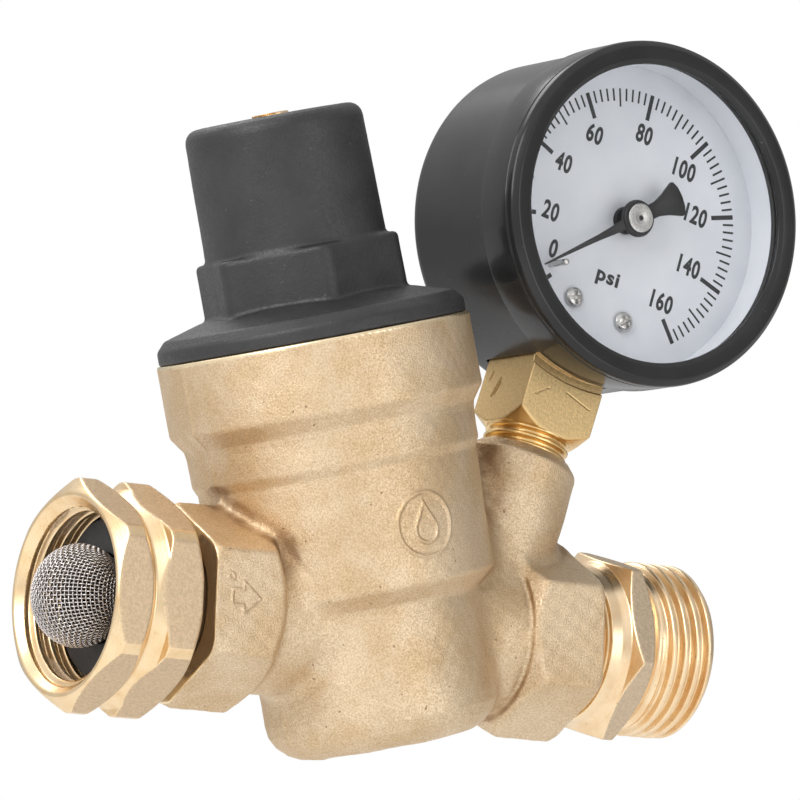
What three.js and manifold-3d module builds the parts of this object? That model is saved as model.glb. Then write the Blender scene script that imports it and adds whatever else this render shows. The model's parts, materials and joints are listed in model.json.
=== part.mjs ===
// Water pressure regulator with a swivel hose inlet, a hose outlet and a dial pressure gauge.
// Millimetres, +Z up. The pipe axis is the X axis, from the inlet nut's open face at x = 0 to the
// outlet at +X. The bonnet leans towards the inlet and the gauge stem leans towards the outlet.
import * as THREE from 'three';
import { mergeVertices } from 'three/addons/utils/BufferGeometryUtils.js';
import Module from 'manifold-3d';

const wasm = await Module();
wasm.setup();

// Driving dimensions
const GAP = 0.3;
const BONNET_X = 53;
const BONNET_LEAN = THREE.MathUtils.degToRad(15);
const STEM_FOOT = { x: 72, z: 0.57 };
const STEM_LEAN = THREE.MathUtils.degToRad(17.16);
const DIAL_UP_STEM = 67.4;
const DIAL_FORWARD = 9;
const HOSE_THREAD = { major: 13.5, minor: 12.35, pitch: 2.209 };
const PIPE_THREAD_R = 10.6;
const PIPE_BORE_R = PIPE_THREAD_R + GAP;

const BODY = {
  bottom: -18.6, base: 17.8, baseRound: 6, baseTop: 3, collar: 24, top: 43.8, edge: 0.4,
  neck: 12.3, bossFlats: 27, bossNear: 23, bossFar: 34.9, chamfer: 1.2, portDepth: 25.5,
};
const BODY_TIERS = [[18.9, 3.9], [20.8, 5], [21.3, 22.5], [21.7, 24.2], [21.9, 29], [23.2, 31], [24, 32.6]];
const CHAMBER = { lowR: 10.5, lowBottom: -13.8, lowTop: 2, upR: 15, upBottom: 11, ledge: 30, boreR: 20.5 };
const PASSAGE = { inletR: 5.5, inletEnd: [-6, -9], outletR: 5, outletEnd: [6, 16], gaugeR: 2.5, gaugeLow: 4 };
const GAUGE_BOSS = { r: 9, shoulder: 27.3, landR: 7.4, top: 29, boreBottom: 18 };

const SEAT = { r: 5.7, bore: 3.6, lip: 4.6, lipTall: 0.8, flange: 8, bottom: 2.2, shoulder: 11.3, top: 14 };
const STEM = { r: 1.6, hole: 1.9, bottom: -8.2, top: 38.5 };
const VALVE_DISC = { r: 6.6, low: -2.3, high: 0.2 };
const DISC_HOLDER = { r: 7.6, cup: 6.9, low: -4.6, floor: -2.6, rim: -0.6 };
const DISC_NUT = { flats: 6, low: -7.4, high: -4.9 };
const STEM_NUT = { flats: 6.5, low: 34.2, high: 37.4 };
const PLATE_R = 12.5;
const LOWER_PLATE = { low: 27, high: 30 };
const UPPER_PLATE = { low: 32.1, floor: 33.9, rim: 35.2, wall: 1.2, corner: 0.6 };
const DIAPHRAGM = { plateR: 12.6, foldR: 13.9, clampR: 15.1, r: 20.2, thick: 1.5, fold: 1 };
const SLIP_RING = { inner: 15.4, outer: 20.2, low: 32.1, high: 33.3 };
const ORING = { r: 19.4, z: 37.6, section: 0.65 };

const NUT = {
  flats: 31.2, length: 14.7, bore: 13.8, faceR: 15.6, faceEdge: 0.3, grooveR: 14.9, frontEnd: 5.2, rearStart: 8.7,
  bevel: 0.6, frontChamfer: 1.6, rearChamfer: 1.8, threadStart: 0.7, reliefStart: 8.6, reliefR: 13.6,
  lip: 13.4, lipR: 10.8,
};
const TAILPIECE = { flangeR: 12.2, flangeNear: 11.9, flangeFar: 13.1, neckR: 10.4, bore: 6.9, end: 26.5 };
const WASHER = { inner: 6.9, outer: 12, near: 6.4, far: 11.6 };
const SCREEN = { tip: -4.5, centre: 2.5, bulb: 7.8, neck: 6.2, neckStart: 8.4, end: 16, wall: 0.5 };
const SCREEN_ANGLES = [-90, -60, -30, 0, 30, 48];

const ADAPTER = {
  start: 79.5, bodyFace: 88, coneStart: 90.5, coneR: 11.6, coneEnd: 95, hexFlats: 26.7, hexCorner: 15.4,
  hexTurn: -16, hexEnd: 98.5, hexChamfer: 0.9, reliefR: 12.1, threadStart: 99.6, end: 109.1, bore: 8, edge: 0.4,
};

const BONNET = {
  skirt: 20.1, skirtBottom: 33.6, skirtBore: 17.2, skirtTop: 42, grooveR: 18.5, grooveLow: 36.4, grooveHigh: 38.8,
  rim: 23.56, rimLow: 44.1, rimEdge: 0.4, hexFlats: 28.4, hexLow: 48.6, hexHigh: 56.7, hexTurn: 12,
  tubeR: 13.9, tubeTopR: 13.6, tubeLow: 49.4, bore: 11.6, boreLow: 50.5, top: 78, roof: 74.6, roofHole: 5.1, edge: 2,
};
const BONNET_BROW = [[23.56, 45.4], [22.76, 46.5], [21.2, 47.5], [16, 49]];
const INSERT = { r: 4.8, bore: 3.3, flange: 6.5, bottom: 71.5, shoulder: 74.2, top: 78.1 };
const SCREW = { r: 3, bottom: 64.5, top: 78.5, slotWide: 1.2, slotDeep: 1.6, tipChamfer: 1, headChamfer: 0.4 };
const BUTTON = { r: 10.9, pilot: 6.6, pilotLow: 58.6, low: 61, high: 64.2 };
const SPRING = { wire: 1.2, r: 8.5, low: 35.5, high: 59.7, turns: 6.5 };

const SOCKET = {
  threadR: 6.65, threadRootR: 6.15, threadLow: 18.6, low: 32, high: 50.2, side: 13.4, pitch: 1.41,
  footR: 7, footTall: 2.4, channelR: 1.8, channelTop: 48.7, portR: 1, portDrop: 1.1,
};
const CASE = {
  r: 26.2, wall: 1.1, back: -20.6, front: -0.45, edge: 1.8, rise: 0.35, notchWide: 14, notchDeep: 12,
  ventR: 3, ventUp: 16, plugFlange: 1, plugTall: 0.9,
};
const BEZEL = { r: 26.8, lip: 23, back: -0.15, front: 8.9, wall: 1.6, lipBack: 7.8, edge: 1.1, lipEdge: 0.5 };
const LENS = { r: 24.9, low: 6.8, high: 7.5 };
const GASKET = { inner: 23.6, outer: 24.9, low: 5.7, high: 6.5 };
const DIAL_RING = { inner: 23.9, outer: 24.9, low: 0.3, high: 5.4 };
const DIAL = { r: 24.3, thick: 0.6, hole: 1.5, screwHole: 1, pinHole: 0.8 };
const DIAL_SCREW = { x: 4.85, y: -15, r: 1.5, shank: 0.7, rim: 0.7, top: 1, dome: 0.5 };
const STOP_PIN = { x: -10.35, y: -11.8, r: 0.5, back: -2, front: 4.6 };
const POINTER = {
  tip: 19, tipHalf: 0.15, hub: 2.9, hubHole: 1.3, neck: 0.75, low: 3.3, high: 3.8, restTurn: 135,
  tailNeck: 0.9, tailNeckAt: 3.5, tailHalf: 3, tailAt: 8.7, tailEndHalf: 1.6, tailEnd: 9.2,
};
const CAP = { r: 2.25, low: 4.1, high: 4.6 };
const GEAR = {
  sectorR: 10, pinionR: 2, sectorTeeth: 50, pinionTeeth: 10, cut: 10, tall: 0.3, back: -8.2, front: -6.8,
};
const TOOTH = { half: 0.3, root: 0.45 };
const ARBOR = { r: 0.9, front: 3.5, pinionExtra: 0.4 };
const SECTOR_PIVOT = new THREE.Vector2(1, -1).setLength(GEAR.sectorR + GEAR.pinionR);
const SECTOR_PIN = { r: 0.5, back: -0.5, front: 1.6, arbor: 0.7 };
const LINK_PIN = { reach: 4, angle: -18 };
const LINK = { endX: 15.5, endY: 3.6, half: 1.3, hole: 0.8, thick: 0.7 };
const PLATES = { frontBack: -5, frontFront: -4, rearBack: -11.6, rearFront: -10.5, arborHole: 1.2, sectorHole: 0.5 };
const PLATE_OUTLINE = [[-10.5, 6], [-10.5, -10], [-6.4, -13.4], [-6.4, -16.8], [6.4, -16.8], [7, -14], [12, -11.5],
  [12, -6], [9.5, 6]];
const PILLARS = [[-9, -8.5], [-9, 4.5], [8, 4.5]];
const PILLAR_R = 1.2;
const TUBE = { r: 19.5, wide: 2.4, deep: 7, wall: 0.45, from: -112.5, sweep: 232.5, z: -9 };
const TUBE_TIP = { wide: 3.4, long: 3, extraDeep: 0.6, earWide: 3.2, earLong: 2.4, earDeep: 1.4, earInset: 0.4 };
const HAIRSPRING = { thin: 0.1, half: 0.35, inner: 1.6, outer: 5.6, low: -6, high: -5.9, turns: 3.5 };

// Colours and finishes
const finish = (color, roughness, metalness) => new THREE.MeshStandardMaterial({ color, roughness, metalness });
const MATERIALS = {
  castBrass: finish(0xd6ba8c, 0.55, 0.8),
  brass: finish(0xdcb070, 0.25, 1),
  blackPlastic: finish(0x2b2b2b, 0.7, 0),
  blackEnamel: finish(0x1c1c1c, 0.4, 0.2),
  white: finish(0xf0f0ee, 0.5, 0),
  steel: finish(0xb8b8ba, 0.3, 1),
  springSteel: finish(0x6f7074, 0.4, 1),
  rubber: finish(0x202020, 0.85, 0),
  glass: new THREE.MeshStandardMaterial({ color: 0xffffff, roughness: 0.05, transparent: true, opacity: 0.2 }),
};

// Shape helpers. Turned and prismatic shapes stand on the local Z axis.
const radians = THREE.MathUtils.degToRad;

function closedMesh(geometry) {
  const bare = new THREE.BufferGeometry();
  bare.setAttribute('position', geometry.getAttribute('position'));
  bare.setIndex(geometry.getIndex());
  const merged = mergeVertices(bare, 1e-4);
  const corners = merged.getIndex().array;
  const kept = [];
  for (let i = 0; i < corners.length; i += 3) {
    const [a, b, c] = corners.slice(i, i + 3);
    if (a !== b && b !== c && c !== a) kept.push(a, b, c);
  }
  merged.setIndex(kept);
  return merged;
}

function solid(geometry) {
  const mesh = closedMesh(geometry);
  return new wasm.Manifold(new wasm.Mesh({
    numProp: 3,
    vertProperties: mesh.getAttribute('position').array,
    triVerts: Uint32Array.from(mesh.getIndex().array),
  }));
}

function toGeometry(shape) {
  const mesh = shape.getMesh();
  const geometry = new THREE.BufferGeometry();
  geometry.setAttribute('position', new THREE.BufferAttribute(mesh.vertProperties, 3));
  geometry.setIndex(new THREE.BufferAttribute(mesh.triVerts, 1));
  return geometry;
}

const join = (...shapes) => shapes.reduce((whole, shape) => whole.add(shape));
const cut = (shape, ...tools) => tools.reduce((rest, tool) => rest.subtract(tool), shape);

// A solid of revolution; the profile is a list of [radius, height] that runs up the outside.
function turned(profile, segments = 24) {
  const points = profile.map(([r, h]) => new THREE.Vector2(r, h));
  return new THREE.LatheGeometry(points, segments).rotateX(Math.PI / 2);
}

const disc = (r, low, high, segments = 24) => turned([[0, low], [r, low], [r, high], [0, high]], segments);

function ring(inner, outer, low, high, segments = 24) {
  return turned([[inner, low], [outer, low], [outer, high], [inner, high], [inner, low]], segments);
}

// A prism with one flat square to -Y, or turned from there by some degrees.
function prism(sides, flats, low, high, turn = 0) {
  const radius = flats / 2 / Math.cos(Math.PI / sides);
  const shape = new THREE.CylinderGeometry(radius, radius, high - low, sides);
  shape.rotateX(Math.PI / 2).rotateZ(Math.PI / sides + radians(turn));
  return shape.translate(0, 0, (low + high) / 2);
}

function box(width, depth, height, x, y, z) {
  return new THREE.BoxGeometry(width, depth, height).translate(x, y, z);
}

function arc(x, y, r, from, to, steps = 4) {
  const points = [];
  for (let i = 0; i <= steps; i += 1) {
    const angle = radians(from + ((to - from) * i) / steps);
    points.push([x + r * Math.cos(angle), y + r * Math.sin(angle)]);
  }
  return points;
}

// Thread ridges as rings, from low to high, as profile points.
function ridges(root, crest, pitch, low, high) {
  const points = [[root, low]];
  const count = Math.floor((high - low) / pitch);
  for (let i = 0; i < count; i += 1) {
    points.push([crest, low + (i + 0.5) * pitch], [root, low + (i + 1) * pitch]);
  }
  return points;
}

function extruded(outline, low, high, holes = []) {
  const shape = new THREE.Shape(outline.map(([x, y]) => new THREE.Vector2(x, y)));
  for (const [x, y, r] of holes) {
    shape.holes.push(new THREE.Path().absarc(x, y, r, 0, Math.PI * 2, true));
  }
  const options = { depth: high - low, bevelEnabled: false, curveSegments: 8 };
  return new THREE.ExtrudeGeometry(shape, options).translate(0, 0, low);
}

// A round rod between two points.
function rodBetween(a, b, r, segments = 24) {
  const start = new THREE.Vector3(...a);
  const along = new THREE.Vector3(...b).sub(start);
  const turn = new THREE.Quaternion().setFromUnitVectors(new THREE.Vector3(0, 0, 1), along.clone().normalize());
  return disc(r, 0, along.length(), segments).applyQuaternion(turn).translate(...a);
}

class Helix extends THREE.Curve {
  constructor(startR, endR, low, high, turns) {
    super();
    Object.assign(this, { startR, endR, low, high, turns });
  }

  getPoint(t) {
    const angle = t * this.turns * Math.PI * 2;
    const r = this.startR + (this.endR - this.startR) * t;
    return new THREE.Vector3(r * Math.cos(angle), r * Math.sin(angle), this.low + (this.high - this.low) * t);
  }
}

function sweep(outline, curve, steps) {
  const shape = new THREE.Shape(outline.map(([x, y]) => new THREE.Vector2(x, y)));
  return new THREE.ExtrudeGeometry(shape, { steps, extrudePath: curve, bevelEnabled: false });
}

// The axes of the object, each with its own local Z. The case sits a little high on the dial's axis.
const pipeAxis = new THREE.Group();
pipeAxis.rotation.y = Math.PI / 2;

const bonnetAxis = new THREE.Group();
bonnetAxis.position.x = BONNET_X;
bonnetAxis.rotation.y = -BONNET_LEAN;

const stemAxis = new THREE.Group();
stemAxis.position.set(STEM_FOOT.x, 0, STEM_FOOT.z);
stemAxis.rotation.y = STEM_LEAN;

const dialFace = new THREE.Group();
dialFace.position.set(0, -DIAL_FORWARD, DIAL_UP_STEM);
dialFace.rotation.x = Math.PI / 2;
stemAxis.add(dialFace);

const caseAxis = new THREE.Group();
caseAxis.position.y = CASE.rise;
dialFace.add(caseAxis);

const regulator = new THREE.Group();
regulator.add(pipeAxis, bonnetAxis, stemAxis);
regulator.updateMatrixWorld(true);

function addPart(name, group, shape, material) {
  const geometry = shape instanceof THREE.BufferGeometry ? closedMesh(shape) : toGeometry(shape);
  geometry.computeVertexNormals();
  const mesh = new THREE.Mesh(geometry, material);
  mesh.name = name;
  group.add(mesh);
  return mesh;
}

const inGroup = (geometry, group) => solid(geometry.applyMatrix4(group.matrixWorld));

// Valve body: a stepped pot on the bonnet axis, with two hexagonal pipe bosses and a gauge boss.
function bodyPot() {
  const { base, baseRound, baseTop, bottom, top, collar, edge } = BODY;
  const round = arc(base - baseRound, bottom + baseRound, baseRound, -90, 0);
  const rim = [[collar, top - edge], [collar - edge, top]];
  const profile = [[0, bottom], ...round, [base, baseTop], ...BODY_TIERS, ...rim, [0, top]];
  return inGroup(turned(profile, 40), bonnetAxis);
}

// One pipe boss on its neck, towards the outlet for side 1 and towards the inlet for side -1.
function hexBoss(side) {
  const { bossNear, bossFar, bossFlats, chamfer, neck } = BODY;
  const corner = bossFlats / 2 / Math.cos(Math.PI / 6);
  const limits = turned([
    [0, bossNear], [corner - chamfer, bossNear], [corner, bossNear + chamfer], [corner, bossFar - chamfer],
    [corner - chamfer, bossFar], [0, bossFar],
  ]);
  const hex = solid(prism(6, bossFlats, bossNear, bossFar)).intersect(solid(limits));
  const boss = join(hex, solid(disc(neck, 0, bossNear + 1)));
  return boss.rotate([0, 90 * side, 0]).translate([BONNET_X, 0, 0]);
}

function bodyChambers() {
  const { lowR, lowBottom, lowTop, upR, upBottom, ledge, boreR } = CHAMBER;
  const seatBore = SEAT.r + GAP;
  return turned([
    [0, lowBottom], [lowR, lowBottom], [lowR, lowTop], [seatBore, lowTop], [seatBore, upBottom],
    [upR, upBottom], [upR, ledge], [boreR, ledge], [boreR, BODY.top + 1], [0, BODY.top + 1],
  ]);
}

// A slanted water passage from the bottom of a port to the chamber.
function passage(side, [endX, endZ], startZ, r) {
  const start = [BONNET_X + side * (BODY.portDepth + 1), 0, startZ];
  return solid(rodBetween(start, [BONNET_X + endX, 0, endZ], r));
}

function valveBody() {
  const { r, shoulder, landR, top, boreBottom } = GAUGE_BOSS;
  const stem = inGroup(turned([[0, 0], [r, 0], [r, shoulder], [landR, top], [0, top]]), stemAxis);
  const outside = join(bodyPot(), hexBoss(-1), hexBoss(1), stem);
  const x = BONNET_X;
  const inletPort = disc(PIPE_BORE_R, x - BODY.bossFar - 1, x - BODY.portDepth);
  const outletPort = disc(PIPE_BORE_R, x + BODY.portDepth, x + BODY.bossFar + 1);
  const inletPassage = passage(-1, PASSAGE.inletEnd, -1, PASSAGE.inletR);
  const outletPassage = passage(1, PASSAGE.outletEnd, 0, PASSAGE.outletR);
  const gaugePort = disc(SOCKET.threadR + GAP, boreBottom, top + 1);
  const gaugePassage = disc(PASSAGE.gaugeR, PASSAGE.gaugeLow, boreBottom + 1, 16);
  return cut(outside, inGroup(bodyChambers(), bonnetAxis), inGroup(inletPort, pipeAxis), inletPassage,
    inGroup(outletPort, pipeAxis), outletPassage, inGroup(gaugePort, stemAxis), inGroup(gaugePassage, stemAxis));
}

// Inlet side
function swivelNut() {
  const corner = NUT.flats / 2 / Math.cos(Math.PI / 6);
  const { faceR, faceEdge, grooveR, frontEnd, rearStart, bevel, length } = NUT;
  const limits = solid(turned([
    [0, 0], [faceR - faceEdge, 0], [faceR, faceEdge], [corner, faceEdge + NUT.frontChamfer],
    [corner, frontEnd - bevel], [grooveR, frontEnd], [grooveR, rearStart], [corner, rearStart + bevel],
    [corner, length - NUT.rearChamfer], [faceR - faceEdge, length], [0, length],
  ], 32));
  const { major, minor, pitch } = HOSE_THREAD;
  const hollow = solid(turned([
    [0, -1], [NUT.bore, -1], [NUT.bore, 0.2], ...ridges(major, minor, pitch, NUT.threadStart, NUT.reliefStart),
    [NUT.reliefR, NUT.reliefStart], [NUT.reliefR, NUT.lip], [NUT.lipR, NUT.lip], [NUT.lipR, length + 1],
    [0, length + 1],
  ], 32));
  return solid(prism(6, NUT.flats, 0, length)).intersect(limits).subtract(hollow);
}

function inletTailpiece() {
  const { flangeR, flangeNear, flangeFar, neckR, bore, end } = TAILPIECE;
  const face = BONNET_X - BODY.bossFar;
  return turned([
    [bore, flangeNear], [flangeR, flangeNear], [flangeR, flangeFar], [neckR, flangeFar], [neckR, face],
    [PIPE_THREAD_R, face + 1], [PIPE_THREAD_R - 0.3, end], [bore, end], [bore, flangeNear],
  ]);
}

function filterScreen() {
  const { tip, centre, bulb, neck, neckStart, end, wall } = SCREEN;
  const halfLong = centre - tip;
  const skin = (inset) => SCREEN_ANGLES.map((angle) => [
    (bulb - inset) * Math.cos(radians(angle)), centre + (halfLong - inset) * Math.sin(radians(angle)),
  ]);
  const outside = [...skin(0), [neck, neckStart], [neck, end]];
  const inside = [...skin(wall), [neck - wall, neckStart], [neck - wall, end]];
  return turned([...outside, ...inside.reverse()]);
}

// Outlet side
function outletAdapter() {
  const a = ADAPTER;
  const body = turned([
    [0, a.start], [PIPE_THREAD_R - a.edge, a.start], [PIPE_THREAD_R, a.bodyFace], [PIPE_THREAD_R, a.coneStart],
    [a.coneR, a.coneStart + a.edge], [a.reliefR, a.hexEnd], [a.reliefR, a.threadStart],
    ...ridges(a.reliefR, HOSE_THREAD.major, HOSE_THREAD.pitch, a.threadStart, a.end - GAP),
    [a.reliefR - a.edge, a.end], [0, a.end],
  ]);
  const limits = turned([
    [0, a.coneStart], [a.coneR, a.coneStart], [a.hexCorner, a.coneEnd], [a.hexCorner, a.hexEnd - a.hexChamfer],
    [a.hexFlats / 2, a.hexEnd], [0, a.hexEnd],
  ]);
  const hex = solid(prism(6, a.hexFlats, a.coneStart, a.hexEnd, a.hexTurn)).intersect(solid(limits));
  return cut(join(solid(body), hex), solid(disc(a.bore, a.start - 1, a.end + 1)));
}

// Bonnet and the adjusting mechanism in it
function bonnet() {
  const b = BONNET;
  const shell = turned([
    [0, b.skirtBottom], [b.skirt, b.skirtBottom], [b.skirt, b.grooveLow], [b.grooveR, b.grooveLow],
    [b.grooveR, b.grooveHigh], [b.skirt, b.grooveHigh], [b.skirt, b.rimLow],
    [b.rim - b.rimEdge, b.rimLow], [b.rim, b.rimLow + b.rimEdge], ...BONNET_BROW, [b.tubeR, b.tubeLow],
    [b.tubeTopR, b.top - b.edge], ...arc(b.tubeTopR - b.edge, b.top - b.edge, b.edge, 20, 90, 3), [0, b.top],
  ], 36);
  const hollow = turned([
    [0, b.skirtBottom - 1], [b.skirtBore, b.skirtBottom - 1], [b.skirtBore, b.skirtTop], [b.bore, b.boreLow],
    [b.bore, b.roof], [b.roofHole, b.roof], [b.roofHole, b.top + 1], [0, b.top + 1],
  ]);
  const hex = prism(6, b.hexFlats, b.hexLow, b.hexHigh, b.hexTurn);
  return cut(join(solid(shell), solid(hex)), solid(hollow));
}

function bonnetInsert() {
  const { r, bore, flange, bottom, shoulder, top } = INSERT;
  return turned([
    [bore, bottom], [flange, bottom], [flange, shoulder], [r, shoulder], [r, top], [bore, top], [bore, bottom],
  ]);
}

function adjustingScrew() {
  const { r, bottom, top, slotWide, slotDeep, tipChamfer, headChamfer } = SCREW;
  const shank = solid(turned([
    [0, bottom], [r - tipChamfer, bottom], [r, bottom + tipChamfer], [r, top - headChamfer], [r - headChamfer, top],
    [0, top],
  ]));
  return shank.subtract(solid(box(4 * r, slotWide, 2 * slotDeep, 0, 0, top)));
}

function springButton() {
  const { r, pilot, pilotLow, low, high } = BUTTON;
  return turned([[0, pilotLow], [pilot, pilotLow], [pilot, low], [r, low], [r, high], [0, high]]);
}

function regulatingSpring() {
  const { wire, r, low, high, turns } = SPRING;
  return sweep(arc(0, 0, wire, 0, 288, 4), new Helix(r, r, low, high, turns), Math.round(turns * 12));
}

// The rubber sheet, with a shallow fold between the plates and the clamped rim.
function diaphragm() {
  const { plateR, foldR, clampR, r, thick, fold } = DIAPHRAGM;
  const low = CHAMBER.ledge + GAP;
  const high = low + thick;
  return turned([
    [STEM.hole, low], [plateR, low], [foldR, low + fold], [clampR, low], [r, low], [r, high],
    [clampR, high], [foldR, high + fold], [plateR, high], [STEM.hole, high], [STEM.hole, low],
  ]);
}

function upperPlate() {
  const { low, floor, rim, wall, corner } = UPPER_PLATE;
  return turned([
    [STEM.hole, low], [PLATE_R - corner, low], [PLATE_R, low + corner], [PLATE_R, rim], [PLATE_R - wall, rim],
    [PLATE_R - wall, floor], [STEM.hole, floor], [STEM.hole, low],
  ]);
}

function bonnetRing() {
  const { r, z, section } = ORING;
  return turned([...arc(r, z, section, 0, 300, 5), [r + section, z]]);
}

// Valve poppet on the stem
function discHolder() {
  const { r, cup, low, floor, rim } = DISC_HOLDER;
  return turned([
    [STEM.hole, low], [r, low], [r, rim], [cup, rim], [cup, floor], [STEM.hole, floor], [STEM.hole, low],
  ]);
}

function hexNut({ flats, low, high }) {
  return solid(prism(6, flats, low, high)).subtract(solid(disc(STEM.hole, low - 1, high + 1, 16)));
}

function valveSeat() {
  const { r, bore, lip, lipTall, flange, bottom, shoulder, top } = SEAT;
  return turned([
    [bore, bottom], [lip, bottom], [r, bottom + lipTall], [r, shoulder], [flange, shoulder], [flange, top],
    [bore, top], [bore, bottom],
  ]);
}

// Gauge
function gaugeSocket() {
  const s = SOCKET;
  const shank = turned([
    [0, s.threadLow], ...ridges(s.threadRootR, s.threadR, s.pitch, s.threadLow, s.low), [s.threadRootR, s.low + 1],
    [0, s.low + 1],
  ], 16);
  const corner = s.side / Math.SQRT2;
  const limits = turned([[0, s.low], [s.footR, s.low], [corner, s.low + s.footTall], [corner, s.high], [0, s.high]]);
  const block = solid(prism(4, s.side, s.low, s.high)).intersect(solid(limits));
  const channel = disc(s.channelR, s.threadLow - 1, s.channelTop, 12);
  const portUp = s.channelTop - s.portDrop;
  const tubePort = rodBetween([0, 0, portUp], [-s.side, 0, portUp], s.portR, 12);
  return cut(join(solid(shank), block), solid(channel), solid(tubePort));
}

function gaugeCase() {
  const c = CASE;
  const inner = c.r - c.wall;
  const corner = arc(c.r - c.edge, c.back + c.edge, c.edge, -90, 0, 3);
  const cup = turned([
    [0, c.back], ...corner, [c.r, c.front], [inner, c.front], [inner, c.back + c.wall], [0, c.back + c.wall],
  ], 40);
  const depth = SOCKET.side + 2 * GAP;
  const notch = box(c.notchWide, c.notchDeep, depth + 2, 0, -c.r, 1 - DIAL_FORWARD);
  const vent = disc(c.ventR, c.back - 1, c.back + c.wall + 1, 16).translate(0, c.ventUp, 0);
  return cut(solid(cup), solid(notch), solid(vent));
}

function ventPlug() {
  const { back, wall, ventR, ventUp, plugFlange, plugTall } = CASE;
  const shank = ventR - GAP;
  const flange = ventR + plugFlange;
  return turned([
    [0, back - plugTall], [flange, back - plugTall], [flange, back - GAP], [shank, back - GAP], [shank, back + wall],
    [0, back + wall],
  ], 20).translate(0, ventUp, 0);
}

function gaugeBezel() {
  const { r, lip, back, front, wall, lipBack, edge, lipEdge } = BEZEL;
  return turned([
    [r - wall, back], [r, back], ...arc(r - edge, front - edge, edge, 0, 90, 3), [lip + lipEdge, front],
    [lip, front - lipEdge], [lip, lipBack], [r - wall, lipBack], [r - wall, back],
  ], 40);
}

function gaugeDial() {
  const plate = solid(disc(DIAL.r, -DIAL.thick, 0));
  const through = (r, x, y) => solid(disc(r, -2, 2, 12).translate(x, y, 0));
  return cut(plate, through(DIAL.hole, 0, 0), through(DIAL.screwHole, DIAL_SCREW.x, DIAL_SCREW.y),
    through(DIAL.screwHole, -DIAL_SCREW.x, DIAL_SCREW.y), through(DIAL.pinHole, STOP_PIN.x, STOP_PIN.y));
}

function dialScrew(side) {
  const { x, y, r, shank, rim, top, dome } = DIAL_SCREW;
  const tip = PLATES.frontFront + GAP;
  return turned([
    [0, tip], [shank, tip], [shank, GAP], [r, GAP], [r, rim], [r - dome, top], [0, top],
  ], 16).translate(side * x, y, 0);
}

function stopPin() {
  const { x, y, r, back, front } = STOP_PIN;
  return disc(r, back, front, 10).translate(x, y, 0);
}

// The pointer is drawn with its tip up, then turned to rest against the stop pin.
function pointer() {
  const p = POINTER;
  const right = [
    [p.tipHalf, p.tip], [p.neck, p.hub], ...arc(0, 0, p.hub, 75, -60, 6), [p.tailNeck, -p.tailNeckAt],
    [p.tailHalf, -p.tailAt], [p.tailEndHalf, -p.tailEnd],
  ];
  const left = right.map(([x, y]) => [-x, y]);
  const outline = [...left, ...right.reverse()];
  return extruded(outline, p.low, p.high, [[0, 0, p.hubHole]]).rotateZ(radians(p.restTurn));
}

function toothed(centre, r, teeth, count, first, rest) {
  const { half } = TOOTH;
  const root = r - TOOTH.root;
  const tip = r + GEAR.tall;
  const points = [];
  for (let i = 0; i < count; i += 1) {
    const angle = radians(first + (i * 360) / teeth);
    const across = new THREE.Vector2(-Math.sin(angle), Math.cos(angle));
    const along = new THREE.Vector2(Math.cos(angle), Math.sin(angle));
    for (const [reach, side] of [[root, -half], [tip, -half / 2], [tip, half / 2], [root, half]]) {
      const corner = centre.clone().addScaledVector(along, reach).addScaledVector(across, side);
      points.push(corner.toArray());
    }
  }
  return [...points, ...rest];
}

function pointerArbor() {
  const arbor = solid(disc(ARBOR.r, PLATES.rearFront + GAP, ARBOR.front, 16));
  const teeth = toothed(new THREE.Vector2(), GEAR.pinionR, GEAR.pinionTeeth, GEAR.pinionTeeth, -45, []);
  const { pinionExtra } = ARBOR;
  return join(arbor, solid(extruded(teeth, GEAR.back - pinionExtra, GEAR.front + pinionExtra)));
}

function linkPinPlace() {
  const angle = radians(LINK_PIN.angle);
  return [SECTOR_PIVOT.x + LINK_PIN.reach * Math.cos(angle), SECTOR_PIVOT.y + LINK_PIN.reach * Math.sin(angle)];
}

function sectorGear() {
  const { x, y } = SECTOR_PIVOT;
  const pitch = 360 / GEAR.sectorTeeth;
  const first = 135 + pitch / 2 - pitch * (GEAR.cut - 1);
  const [pinX, pinY] = linkPinPlace();
  const heel = [[x - 1.6, y - 0.4], [x - 1.2, y - 1.6]];
  const toe = [[pinX - 0.2, pinY - 1.3], [pinX + 1.2, pinY - 0.3], [pinX + 0.6, pinY + 1.2]];
  const tail = [...heel, ...toe, [x + 1.6, y + 1.2]];
  const plate = toothed(SECTOR_PIVOT, GEAR.sectorR, GEAR.sectorTeeth, GEAR.cut, first, tail);
  const pin = disc(SECTOR_PIN.r, GEAR.front + SECTOR_PIN.back, GEAR.front + SECTOR_PIN.front, 10);
  const arbor = disc(SECTOR_PIN.arbor, PLATES.rearFront + GAP, PLATES.frontBack - GAP, 12).translate(x, y, 0);
  pin.translate(pinX, pinY, 0);
  return join(solid(extruded(plate, GEAR.back, GEAR.front)), solid(pin), solid(arbor));
}

function gaugeLink() {
  const [startX, startY] = linkPinPlace();
  const { endX, endY, half, hole, thick } = LINK;
  const long = Math.hypot(endX - startX, endY - startY);
  const outline = [...arc(0, 0, half, 90, 270, 4), ...arc(long, 0, half, -90, 90, 4)];
  const low = GEAR.front + GAP;
  const bar = extruded(outline, low, low + thick, [[0, 0, hole], [long, 0, hole]]);
  return bar.rotateZ(Math.atan2(endY - startY, endX - startX)).translate(startX, startY, 0);
}

function movementPlate(low, high) {
  const holes = [[0, 0, PLATES.arborHole], [SECTOR_PIVOT.x, SECTOR_PIVOT.y, PLATES.sectorHole]];
  return extruded(PLATE_OUTLINE, low, high, holes);
}

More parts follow.
